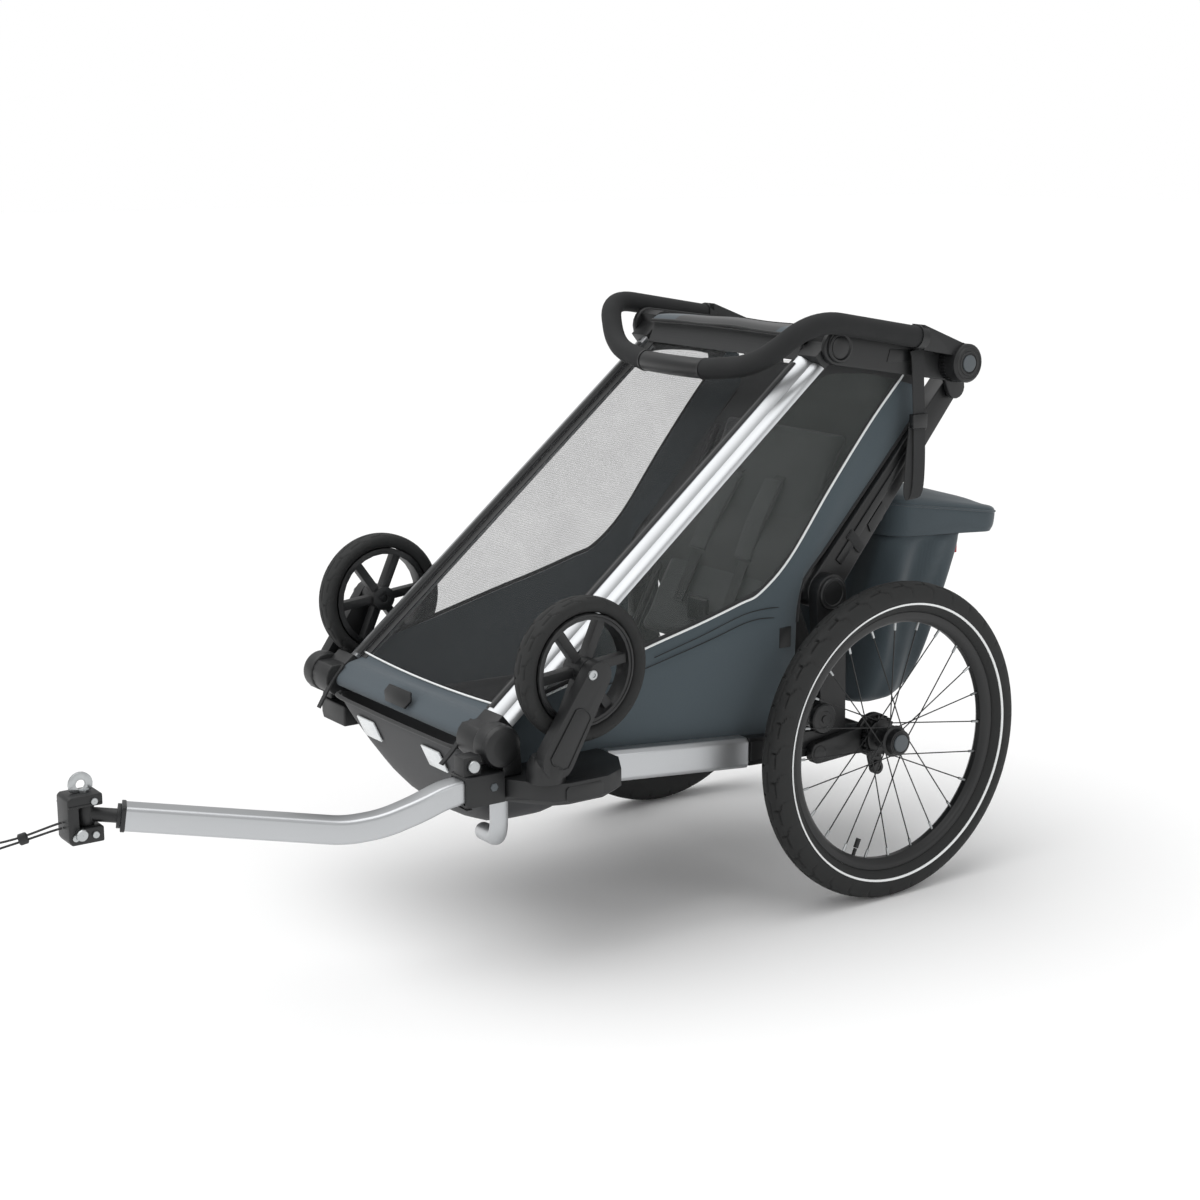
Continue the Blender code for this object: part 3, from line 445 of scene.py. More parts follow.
def lathe(profile, centre, steps=48, closed=False):
    """Turns (x, radius) points about an axis along X by extruding a circle from point to point."""
    clear()
    x, radius = profile[0]
    middle = spot(x, *centre)
    bpy.ops.mesh.primitive_circle_add(vertices=steps, radius=radius, fill_type="NOTHING", location=middle,
                                      rotation=(0, math.pi / 2, 0))
    piece = bpy.context.object
    bpy.ops.object.transform_apply(location=True, rotation=True, scale=True)
    edit(piece)
    following = profile[1:] + ([profile[0]] if closed else [])
    for next_x, next_radius in following:
        bpy.ops.mesh.extrude_region_move(TRANSFORM_OT_translate={"value": (next_x - x, 0, 0)})
        share = next_radius / radius
        bpy.ops.transform.resize(value=(1, share, share), center_override=spot(next_x, *centre))
        x, radius = next_x, next_radius
    return outward(piece)


def round_curve(name, points, radius, resolution, closed=False, caps=True):
    """A curve along a line of points, with a round section."""
    curve = bpy.data.curves.new(name, "CURVE")
    curve.dimensions = "3D"
    curve.bevel_depth = radius
    curve.bevel_resolution = resolution
    curve.use_fill_caps = caps
    line = curve.splines.new("POLY")
    line.points.add(len(points) - 1)
    for point, place in zip(line.points, points):
        point.co = (*place, 1)
    line.use_cyclic_u = closed
    piece = bpy.data.objects.new(name, curve)
    bpy.context.scene.collection.objects.link(piece)
    return piece


def tube(points, radius, sides=10, closed=False, caps=True):
    """A round bar along a line of points, made as a bevelled curve and then a mesh."""
    clear()
    pick(round_curve("line", points, radius, max(0, sides // 2 - 2), closed, caps))
    bpy.ops.object.convert(target="MESH")
    return outward(bpy.context.object)


def ribbon(points, width, thickness, across, columns=40):
    """Flat webbing along a line of points: across is the direction of its width."""
    line = [Vector(point) for point in points]
    side = Vector(across).normalized()
    return walled(columns, 2, lambda u, w: at_share(line, u) + side * ((w - 0.5) * width), thickness)


def box(low, high, bevel=0.0015, segments=2):
    """A moulded block between two corners with rounded edges."""
    clear()
    low, high = Vector(low), Vector(high)
    bpy.ops.mesh.primitive_cube_add(size=1, location=(low + high) / 2)
    piece = bpy.context.object
    piece.scale = high - low
    bpy.ops.object.transform_apply(location=True, rotation=True, scale=True)
    return round_edges(piece, bevel, segments)


def joined(pieces):
    """Several shapes as one piece."""
    clear()
    for piece in pieces:
        piece.select_set(True)
    bpy.context.view_layer.objects.active = pieces[0]
    bpy.ops.object.join()
    return bpy.context.object


def mirrored(piece):
    """The piece's mirror image for the other side, with its own mesh."""
    made = piece.copy()
    made.data = piece.data.copy()
    bpy.context.scene.collection.objects.link(made)
    made.data.transform(Matrix.Scale(-1, 4, Vector((1, 0, 0))))
    made.data.flip_normals()
    return made


def refined(node, bevel, segments=2):
    """A copy of a moulding's solid, with its flat faces merged and every edge rounded."""
    source = frame["nodes"][node]
    piece = source.copy()
    piece.data = source.data.copy()
    piece.parent = None
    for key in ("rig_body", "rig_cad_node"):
        if key in piece:
            del piece[key]
    bpy.context.scene.collection.objects.link(piece)
    piece.hide_render = False
    piece.hide_viewport = False
    edit(piece)
    bpy.ops.mesh.remove_doubles(threshold=2e-6)
    bpy.ops.mesh.dissolve_limited(angle_limit=math.radians(1.5))
    bpy.ops.object.mode_set(mode="OBJECT")
    if bevel:
        round_edges(piece, bevel, segments, 32)
    return piece


def finish(piece, name, body, slot, material, smooth=35, replaces=""):
    """Names a piece, gives it its finish, if it has none yet, and puts it on its body."""
    pick(piece)
    piece.name = name
    piece.data.name = name
    if material:
        piece.data.materials.clear()
        piece.data.materials.append(finishes[material])
    bpy.ops.object.shade_smooth_by_angle(angle=math.radians(smooth))
    if body:
        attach(piece, body)
    if replaces:
        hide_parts(replaces)
    clear()
    return piece


def pair(piece, name, body, slot, material, smooth=35, replaces=""):
    """Finishes a left piece and its mirror image; {s} and {w} in the names stand for the side."""
    return [finish(item, name.format(s=side), body.format(w=word), slot, material, smooth,
                   replaces.format(s=side))
            for (side, word), item in zip(SIDES, (piece, mirrored(piece)))]


def turned_pair(name, body, centre, steps, profile, closed=False, look=PLASTIC):
    """A left and a right part turned about an axis along X."""
    return pair(lathe(profile, centre, steps, closed), name, body, *look)


# ---- mouldings and castings that keep their solid's shape --------------------------------------
# node, edge radius, body, slot, finish
MOULDINGS = (
    ("rear_chassis", 0.0022, "chassis", "black_plastic", "powder_coat"),
    ("carrier_base_{s}", 0.0030, "chassis", *MOULDED),
    ("front_pivot_{s}", 0.0025, "chassis", *MOULDED),
    ("arm_receiver", 0.0016, "chassis", *MOULDED),
    ("receiver_lock", 0.0006, "receiver_lock", *STEEL),
    ("brake_pedal", 0.0014, "brake_pedal", *MOULDED),
    ("swing_arm_{s}", 0.0020, "suspension_{w}", *COATED),
    ("hub_button_{s}", 0.0007, "axle_button_{w}", "button_grey", "grey_polyamide"),
    ("knuckle_button_{s}", 0.0007, "knuckle_button_{w}", "button_grey", "grey_polyamide"),
    ("fork_{s}", 0.0024, "fork_{w}", *MOULDED),
    ("stroller_rim_{s}", 0.0013, "stroller_wheel_{w}", *MOULDED),
    ("front_yoke", 0.0030, "front_frame", *MOULDED),
    ("top_yoke", 0.0024, "front_frame", *MOULDED),
    ("bracket_{s}", 0.0028, "top_bracket", *MOULDED),
    ("bar_socket_{s}", 0.0024, "handlebar", *MOULDED),
    ("rear_frame", 0.0035, "rear_frame", "black_plastic", "powder_coat"),
    ("hitch_stub", 0.0012, "hitch_stub", *MOULDED),
    ("hitch_block", 0.0022, "hitch", *MOULDED),
    ("axle_plate", 0.0005, "hitch", *STEEL),
    ("cord_toggle", 0.0007, "hitch", *MOULDED),
    ("reflector_{s}", 0.0010, "chassis", "reflector", "acrylic_reflector"),
    ("side_rail_{s}", 0.0018, "chassis", *ALUMINIUM),
)


def make_mouldings(sizes):
    for node, radius, body, slot, material in MOULDINGS:
        for side, word in (SIDES if "{s}" in node else SIDES[:1]):
            name = node.format(s=side)
            piece = refined(name, radius * sizes.edge, 3 if radius >= 0.002 else 2)
            finish(piece, name + "_moulding", body.format(w=word), slot, material, 40, name)


# ---- frame -------------------------------------------------------------------------------------
def make_struts():
    """Anodised extrusions with a flat inner band, a ridge and a rounded outer band, and the foot bow."""
    section = [(0.1902, -0.0115), (0.1902, 0.0095), (0.1915, 0.0112), (0.1980, 0.0108), (0.2060, 0.0056),
               (0.2140, 0.0000), (0.2146, -0.0012), (0.2154, -0.0010), (0.2165, 0.0004), (0.2240, -0.0005),
               (0.2300, -0.0035), (0.2335, -0.0075), (0.2345, -0.0105), (0.2320, -0.0122)]
    closed = section + section[:1]
    low, high = 0.0384, 0.7598

    def place(u, w):
        x, n = closed[round(w * (len(closed) - 1))]
        return spot(x, *on_strut(low + (high - low) * u, n))

    piece = closed_up(grid(12, len(closed) - 1, place))
    pair(piece, "strut_extrusion_{s}", "front_frame", *ALUMINIUM, 30, "strut_{s}")

    lip = tube([spot(0.1878, *on_strut(0.045 + 0.69 * i / 12, 0.0088)) for i in range(13)], 0.0022, 8)
    pair(lip, "cover_keder_{s}", "front_frame", *HEM)

    def binding(u, w):
        x, n = ((0.1884, 0.0104), (0.1900, 0.0121), (0.1975, 0.0119), (0.1990, 0.0106))[round(w * 3)]
        return spot(x, *on_strut(0.0440 + 0.7010 * u, n))

    pair(walled(24, 3, binding, 0.0010), "cover_edge_binding_{s}", "front_frame", *HEM, 50)
    bow = rounded_line([spot(0.208, -0.661, 0.2697), spot(0.208, -0.661, 0.196), spot(0.120, -0.632, 0.177)],
                       0.030)
    finish(tube(bow, 0.013, 20), "foot_bow_tube", "chassis", *ALUMINIUM, 40, "foot_bow")


def make_caps():
    """Round covers over the frame's joints."""
    for name, body, centre, steps, profile in (
            ("front_pivot_cap", "chassis", FRONT, 48,
             [(0.2612, 0.0300), (0.2640, 0.0297), (0.2672, 0.0275), (0.2690, 0.0225), (0.2694, 0.0150),
              (0.2694, 0.0004)]),
            ("strut_head_cap", "top_bracket", TOP, 48,
             [(0.2415, 0.0235), (0.2462, 0.0235), (0.2480, 0.0222), (0.2484, 0.0195), (0.2470, 0.0180),
              (0.2462, 0.0172), (0.2462, 0.0004)]),
            ("strut_head_inset", "top_bracket", TOP, 40,
             [(0.2455, 0.0165), (0.2468, 0.0163), (0.2474, 0.0150), (0.2474, 0.0004)]),
            ("rear_pivot_cap", "chassis", REAR, 48,
             [(0.2495, 0.0245), (0.2530, 0.0243), (0.2548, 0.0228), (0.2550, 0.0190), (0.2538, 0.0178),
              (0.2538, 0.0004)])):
        turned_pair(name + "_{s}", body, centre, steps, profile)
    for name, profile in (
            ("outer", [(0.2785, 0.0262), (0.2800, 0.0252), (0.2800, 0.0236), (0.2788, 0.0226)]),
            ("inner", [(0.2785, 0.0196), (0.2800, 0.0186), (0.2800, 0.0158), (0.2788, 0.0150)])):
        turned_pair(f"knuckle_ring_{name}_{{s}}", "handlebar", KNUCKLE, 56, profile, closed=True)
    ribs, count = [], 36
    for i in range(count):
        turn = math.tau * i / count
        rib = box((0.2445, -0.0011, 0.0296), (0.2560, 0.0011, 0.0312), 0.0005, 1)
        rib.data.transform(Matrix.Translation(spot(0, *KNUCKLE)) @ Matrix.Rotation(turn, 4, "X"))
        ribs.append(rib)
    pair(joined(ribs), "knuckle_grip_ribs_{s}", "handlebar", *PLASTIC)
    label = slab([(0.020, 0.8285), (0.026, 0.8480), (0.092, 0.8420), (0.088, 0.8250)], 0.2420, 0.2436, 0.0005)
    pair(label, "bracket_label_plate_{s}", "top_bracket", *PLASTIC)


def make_handlebar():
    path = rounded_line([spot(0.2605, 0.0660, 0.8650), spot(0.2590, -0.140, 0.901),
                         spot(0.180, -0.183, 0.829), spot(0.0760, -0.198, 0.817)], 0.050, 10)
    pair(tube(path, 0.0165, 24), "foam_grip_cover_{s}", "handlebar", "black_foam", "eva_foam", 40,
         "foam_grip_{s}")
    half, sag = 0.0748, 0.006
    shares = [i / 8 - 1 for i in range(17)]
    line = [spot(half * share, -0.198 - sag * (1 - share ** 2), 0.817) for share in shares]
    finish(tube(line, 0.0158, 24), "grip_sleeve_cover", "handlebar", *PLASTIC, 40,
           "grip_sleeve")
    lip = [spot(x, -0.1982, 0.817) for x in (0.0735, 0.0745, 0.0765, 0.0775)]
    pair(tube(lip, 0.0169, 28), "grip_end_ring_{s}", "handlebar", *PLASTIC)
    heading = (spot(0.2605, 0.0700, 0.8643) - spot(0.2605, 0.0560, 0.8670)).normalized()
    base = spot(0.2605, 0.0690, 0.8645)
    lip = [base + heading * d for d in (-0.009, -0.006, 0.004, 0.006)]
    pair(tube(lip, 0.0186, 28), "socket_collar_{s}", "handlebar", *PLASTIC)


# ---- main wheels -------------------------------------------------------------------------------
# shares of the half width, and of the height over the bead
TYRE_SECTION = ((0.50, 0.00), (0.62, 0.04), (0.78, 0.14), (0.92, 0.28), (1.00, 0.45), (0.99, 0.60),
                (0.93, 0.74), (0.80, 0.86), (0.60, 0.94), (0.34, 0.985), (0.0, 1.0))
PITCH_COLUMNS = 16                      # points along one tread block and its groove


def tyre(half_width, outer, bead, centre_x, centre, pitches, groove):
    """A tyre with a tread of shoulder blocks parted by stepped grooves."""
    near = [(centre_x + half_width * x, bead + (outer - bead) * r, x) for x, r in TYRE_SECTION]
    far = [(2 * centre_x - x, r, -s) for x, r, s in reversed(near[:-1])]
    ring = near + far
    inner = [(centre_x + half_width * share, bead + 0.002, share) for share in (-0.3, 0.3)]
    ring = [tuple(point) for point in smooth_line(ring, 3)] + inner + ring[:1]
    rows = len(ring) - 1
    steps = pitches * PITCH_COLUMNS

    def place(u, w):
        x, radius, across = ring[round(w * rows)]
        turn = math.tau * u
        column = (round(u * steps) + (PITCH_COLUMNS // 2 if across < 0 else 0)) % PITCH_COLUMNS
        edge = abs(across)
        height = (radius - bead) / (outer - bead)
        depth = 0.0
        if height > 0.50:
            line = 3 if edge > 0.84 else (3 + 5 * (0.84 - edge) / 0.22 if edge > 0.62 else 8)
            if abs(column - line) < 0.75 and edge > 0.30:
                depth = groove
            if abs(edge - 0.60) < 0.03 and column >= 8:
                depth = groove
            if edge < 0.03 and 2 < column < 14:
                depth = groove * 0.8
        radius -= depth
        return spot(x, centre[0] + radius * math.cos(turn), centre[1] + radius * math.sin(turn))

    return outward(grid(steps, rows, place))


def make_wheels():
    piece = tyre(0.0235, 0.2498, 0.2045, WHEEL_X, AXLE, 34, 0.0042)
    pair(piece, "tyre_carcass_{s}", "wheel_{w}", *RUBBER, 50, "tyre_{s}")
    band = [(0.3214, 0.2168), (0.3225, 0.2170), (0.3239, 0.2195), (0.3233, 0.2201), (0.3216, 0.2192)]
    turned_pair("tyre_reflective_line_{s}", "wheel_{w}", AXLE, 120, band, True, (*TAPE, 30))
    section = [(0.0122, 0.2044), (0.0126, 0.2036), (0.0126, 0.1975), (0.0118, 0.1945), (0.0090, 0.1905),
               (0.0045, 0.1874), (0.0, 0.1868)]
    profile = [(WHEEL_X + x, r) for x, r in section] + [(WHEEL_X - x, r) for x, r in reversed(section[:-1])]
    profile += [(WHEEL_X - 0.0108, 0.2030), (WHEEL_X + 0.0108, 0.2030)]
    turned_pair("rim_extrusion_{s}", "wheel_{w}", AXLE, 120, profile, True, (*COATED, 25, "rim_{s}"))

    hub = lathe([(0.3030, 0.0095), (0.2665, 0.0095), (0.2665, 0.0205), (0.2735, 0.0205), (0.2740, 0.0262),
                 (0.2745, 0.0268), (0.2760, 0.0268), (0.2765, 0.0260), (0.2778, 0.0165), (0.2810, 0.0150),
                 (0.3010, 0.0150), (0.3040, 0.0165), (0.3053, 0.0240), (0.3058, 0.0248), (0.3073, 0.0248),
                 (0.3078, 0.0240), (0.3092, 0.0206), (0.3198, 0.0200), (0.3205, 0.0192), (0.3205, 0.0142),
                 (0.3100, 0.0142)], AXLE, 48)
    teeth, corners = [], 96
    for i in range(corners):
        radius = 0.0335 if i % 4 < 2 else 0.0296
        turn = math.tau * (i + 0.5) / corners
        teeth.append((AXLE[0] + radius * math.cos(turn), AXLE[1] + radius * math.sin(turn)))
    ring = slab(teeth, 0.2668, 0.2728)
    spokes, nipples, count = [], [], 24
    for i in range(count):
        crossing = 1 if i % 4 < 2 else -1
        rim_turn = math.tau * i / count
        hub_turn = rim_turn + crossing * math.radians(66)
        x = (0.3067 if i % 2 else 0.2752) + crossing * 0.0008
        inner = spot(x, AXLE[0] + 0.0225 * math.cos(hub_turn), AXLE[1] + 0.0225 * math.sin(hub_turn))
        outer = spot(WHEEL_X, AXLE[0] + 0.1870 * math.cos(rim_turn), AXLE[1] + 0.1870 * math.sin(rim_turn))
        heading = (outer - inner).normalized()
        spokes.append(tube([inner, outer], 0.0010, 8))
        nipples.append(tube([outer - heading * 0.0125, outer - heading * 0.004, outer], 0.0021, 8))
    pair(joined([hub, ring] + spokes), "hub_and_spokes_{s}", "wheel_{w}", *COATED, 35,
         "hub_{s}")
    pair(joined(nipples), "spoke_nipples_{s}", "wheel_{w}", *STEEL, 35)
    turn = math.radians(247)
    direction = Vector((0, math.cos(turn), math.sin(turn)))
    valve = [spot(WHEEL_X, *AXLE) + direction * r for r in (0.1880, 0.1760, 0.1750, 0.1600)]
    pair(joined([tube(valve[:2], 0.0030, 12), tube(valve[2:], 0.0040, 12)]), "tyre_valve_{s}", "wheel_{w}",
         *BLACK_CAP, 35)
    turned_pair("hub_cap_ring_{s}", "wheel_{w}", AXLE, 48,
                [(0.3200, 0.0180), (0.3212, 0.0178), (0.3215, 0.0165), (0.3208, 0.0150)], True, BLACK_CAP)


def make_suspension():
    """Suspension pucks, brake drums and cables, and cover plates beside the wheels."""
    turned_pair("suspension_puck_{s}", "chassis", (-0.1000, 0.2900), 36,
                [(0.2480, 0.0235), (0.2560, 0.0235), (0.2578, 0.0215), (0.2580, 0.0130), (0.2572, 0.0120),
                 (0.2572, 0.0062), (0.2590, 0.0056), (0.2590, 0.0004)])
    drum = lathe([(0.2508, 0.0310), (0.2520, 0.0345), (0.2600, 0.0345), (0.2616, 0.0320), (0.2620, 0.0240)],
                 AXLE, 48)
    horn = slab([(-0.012, 0.232), (0.020, 0.232), (0.024, 0.196), (0.016, 0.186), (0.004, 0.186),
                 (-0.002, 0.196)], 0.2512, 0.2560, 0.0012)
    stop = lathe([(0.2505, 0.0105), (0.2610, 0.0105), (0.2620, 0.0095), (0.2620, 0.0052), (0.2605, 0.0046),
                  (0.2605, 0.0004)], (0.0105, 0.1940), 28)
    pair(joined([drum, horn, stop]), "brake_drum_{s}", "suspension_{w}", *BLACK_CAP)
    for name, centre, profile in (
            ("pivot", SWING, [(0.2640, 0.0125), (0.2655, 0.0122), (0.2662, 0.0108), (0.2662, 0.0004)]),
            ("axle", AXLE, [(0.2640, 0.0170), (0.2652, 0.0166), (0.2656, 0.0150), (0.2656, 0.0090)])):
        turned_pair(f"swing_{name}_cap_{{s}}", "suspension_{w}", centre, 32, profile, look=BLACK_CAP)
    cable = smooth_line([spot(0.120, 0.030, 0.222), spot(0.140, -0.010, 0.214), spot(0.190, -0.040, 0.222),
                         spot(0.228, -0.060, 0.232)], 8)
    pair(tube(cable, 0.0022, 8), "brake_cable_{s}", "chassis", *PLASTIC)
    rib = slab([(-0.232, 0.2445), (0.010, 0.2345), (0.010, 0.2400), (-0.232, 0.2520)], 0.2496, 0.2514, 0.0006)
    pair(rib, "side_casting_rib_{s}", "chassis", "black_plastic", "powder_coat")
    plate = slab([(-0.2405, 0.246), (-0.2405, 0.276), (-0.1600, 0.2715), (-0.1600, 0.2465)], 0.2498, 0.2524,
                 0.0008)
    pair(plate, "rail_end_cover_{s}", "chassis", *MOULDED)


# ---- stroller wheels ---------------------------------------------------------------------------
def make_stroller_wheels():
    piece = tyre(0.0190, 0.1028, 0.0812, 0.283, STROLLER_AXLE, 16, 0.0022)
    pair(piece, "stroller_tyre_carcass_{s}", "stroller_wheel_{w}", *RUBBER, 50, "stroller_tyre_{s}")
    turned_pair("stroller_rim_lip_{s}", "stroller_wheel_{w}", STROLLER_AXLE, 72,
                [(0.2968, 0.0800), (0.2982, 0.0792), (0.2982, 0.0765), (0.2968, 0.0757)], closed=True)
    panel = []
    for step in range(11):
        turn = math.radians(20 + 140 * step / 10)
        panel.append((0.015 * math.cos(turn), 0.088 + 0.013 * math.sin(turn)))
    panel += [(-0.0165, 0.000), (-0.010, -0.006), (0.010, -0.006), (0.0165, 0.000)]
    heading = math.atan2(STROLLER_AXLE[1] - 0.335, STROLLER_AXLE[0] + 0.640) - math.pi / 2
    outline = []
    for across, length in panel:
        up = length * 0.80
        y = -0.640 + across * math.cos(heading) - up * math.sin(heading)
        z = 0.332 + across * math.sin(heading) + up * math.cos(heading)
        outline.append((y, z))
    plate = slab(outline, 0.3296, 0.3312, 0.0007)
    pair(plate, "fork_face_panel_{s}", "fork_{w}", *PLASTIC)
    trace = [spot(0.3313, y, z) for y, z in outline]
    pair(tube(trace, 0.0009, 6, closed=True, caps=False), "fork_panel_edge_{s}", "fork_{w}", "black_plastic",
         "powder_coat")
    turned_pair("fork_bolt_{s}", "fork_{w}", (-0.5850, 0.4480), 24,
                [(0.3290, 0.0072), (0.3318, 0.0070), (0.3326, 0.0060), (0.3326, 0.0034), (0.3312, 0.0030),
                 (0.3312, 0.0004)], look=STEEL)
    lip = slab([(-0.628, 0.276), (-0.575, 0.276), (-0.571, 0.280), (-0.571, 0.294), (-0.575, 0.298),
                (-0.628, 0.298), (-0.632, 0.294), (-0.632, 0.280)], 0.3340, 0.3358, 0.0006)
    pair(lip, "carrier_side_panel_{s}", "chassis", *PLASTIC)


# ---- tow arm -----------------------------------------------------------------------------------
ARM_END = (0.100, -1.174, 0.298)
ARM_BEND = (0.210, -0.905, 0.2555)
HITCH = (0.082773, -1.216130, 0.304656)


def make_tow_arm():
    """Square aluminium tube with rounded corners, bent up to the receiver."""
    route = [spot(0.250, -0.6925, 0.2935), spot(0.250, -0.772, 0.2935), spot(0.246, -0.812, 0.279),
             spot(0.230, -0.858, 0.262), spot(*ARM_BEND), spot(*ARM_END)]
    line = rounded_line(route, 0.021, 8)
    half, soft = 0.0169, 0.0058
    section = []
    for cx, cz, first in ((1, 1, 0), (-1, 1, 90), (-1, -1, 180), (1, -1, 270)):
        for step in range(6):
            turn = math.radians(first + 18 * step)
            section.append((cx * (half - soft) + soft * math.cos(turn),
                            cz * (half - soft) + soft * math.sin(turn)))
    section.append(section[0])

    def place(u, w):
        i = round(u * (len(line) - 1))
        heading = (line[min(i + 1, len(line) - 1)] - line[max(i - 1, 0)]).normalized()
        side = heading.cross(Vector((0, 0, 1))).normalized()
        a, b = section[round(w * (len(section) - 1))]
        return line[i] + side * a + side.cross(heading) * b

    piece = closed_up(grid(len(line) - 1, len(section) - 1, place))
    finish(piece, "tow_arm_tube", "tow_arm", *ALUMINIUM, 40, "tow_arm")

    start_point, heading = spot(*ARM_END), (spot(*ARM_END) - spot(*ARM_BEND)).normalized()
    side = heading.cross(Vector((0, 0, 1))).normalized()
    hole = start_point - heading * 0.052
    pin = tube([hole + side * d for d in (0.0160, 0.0174)], 0.0042, 16)
    finish(pin, "tow_arm_rivet", "tow_arm", *PLASTIC)
    up = side.cross(heading)
    rings = ((-0.0060, 0.0004), (-0.0050, 0.0012), (-0.0005, 0.0012), (0.0, 0.0004))

    def cuff(u, w):
        distance, grow = rings[round(u * 3)]
        a, b = section[round(w * (len(section) - 1))]
        return start_point + heading * distance + side * a * (1 + grow / half) + up * b * (1 + grow / half)

    piece = outward(grid(3, len(section) - 1, cuff))
    finish(piece, "tow_arm_end_cuff", "tow_arm", *PLASTIC)
    x, y, z = HITCH
    screw = [(x + 0.0195, 0.0048), (x + 0.0222, 0.0047), (x + 0.0228, 0.0040), (x + 0.0228, 0.0004)]
    screws = [lathe(screw, (y + dy, z + dz), 12)
              for dy, dz in ((0.006, 0.021), (0.006, -0.024), (-0.021, -0.024))]
    finish(joined(screws), "hitch_screws", "hitch", *STEEL)
    key = lathe([(x + 0.0195, 0.0078), (x + 0.0265, 0.0078), (x + 0.0280, 0.0066), (x + 0.0280, 0.0004)],
                (y - 0.014, z - 0.020), 28)
    finish(key, "hitch_key_lock", "hitch", *STEEL)
    groove = slab([(y - 0.0290, z + 0.0155), (y + 0.0170, z + 0.0155), (y + 0.0170, z + 0.0185),
                   (y - 0.0290, z + 0.0185)], x - 0.0212, x + 0.0212, 0.0008)
    finish(groove, "hitch_upper_rib", "hitch", *PLASTIC)
    bolt = tube([spot(x, y, z - 0.0365), spot(x, y, z + 0.0330)], 0.0075, 6)
    finish(bolt, "hitch_swivel_bolt", "hitch", *STEEL, 20)
    screw = lathe([(0.2712, 0.0062), (0.2728, 0.0060), (0.2734, 0.0050), (0.2734, 0.0004)],
                  (-0.708, 0.296), 6)
    finish(screw, "receiver_screw", "chassis", "button_grey", "grey_polyamide", 20)
    lip = slab([(-0.7535, 0.2705), (-0.7440, 0.2705), (-0.7440, 0.2719), (-0.7535, 0.2719)],
               0.2270, 0.2730, 0.0005)
    finish(lip, "receiver_lip", "chassis", *PLASTIC)


def make_cord():
    """Braided safety cord with an open loop, through a small toggle."""
    exit_low = Vector((HITCH[0] - 0.002, -1.2466 + AXLE_Y, HITCH[2] - 0.0145))
    steps = [(0, 0, 0), (-0.005, -0.014, -0.0035), (-0.018, -0.046, -0.0135), (-0.031, -0.075, -0.0225),
             (-0.043, -0.103, -0.0320), (-0.050, -0.120, -0.0350), (-0.0545, -0.1305, -0.0310),
             (-0.0560, -0.1340, -0.0240), (-0.0540, -0.1290, -0.0170), (-0.0490, -0.1170, -0.0150),
             (-0.042, -0.101, -0.0170), (-0.031, -0.0745, -0.0145), (-0.018, -0.0455, -0.0075),
             (-0.005, -0.0135, 0.0035), (0, 0, 0.0075)]
    line = smooth_line([exit_low + Vector(step) for step in steps], 3)
    length = sum((b - a).length for a, b in zip(line, line[1:]))
    braid = round_curve("safety_cord_braid", line, 0.0015, 3)
    braid.data.materials.append(finishes["cord_braid"])
    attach(braid, "hitch")
    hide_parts("safety_cord")
    tuple(line[0])


# ---- fabric ------------------------------------------------------------------------------------
# the window's lower edge, from the nose to the rear post
WINDOW_LOW = ((-0.6418, 0.362), (-0.602, 0.392), (-0.508, 0.4150), (-0.400, 0.4420), (-0.314, 0.462),
              (-0.239, 0.482), (-0.201, 0.494), (-0.144, 0.541), (-0.067, 0.640), (0.011, 0.734),
              (0.077, 0.803))


def flat_line(points, steps):
    return [(p.x, p.y) for p in smooth_line([Vector((y, z, 0)) for y, z in points], steps)]


def share_of(line, share):
    point = at_share([Vector((y, z, 0)) for y, z in line], share)
    return point.x, point.y


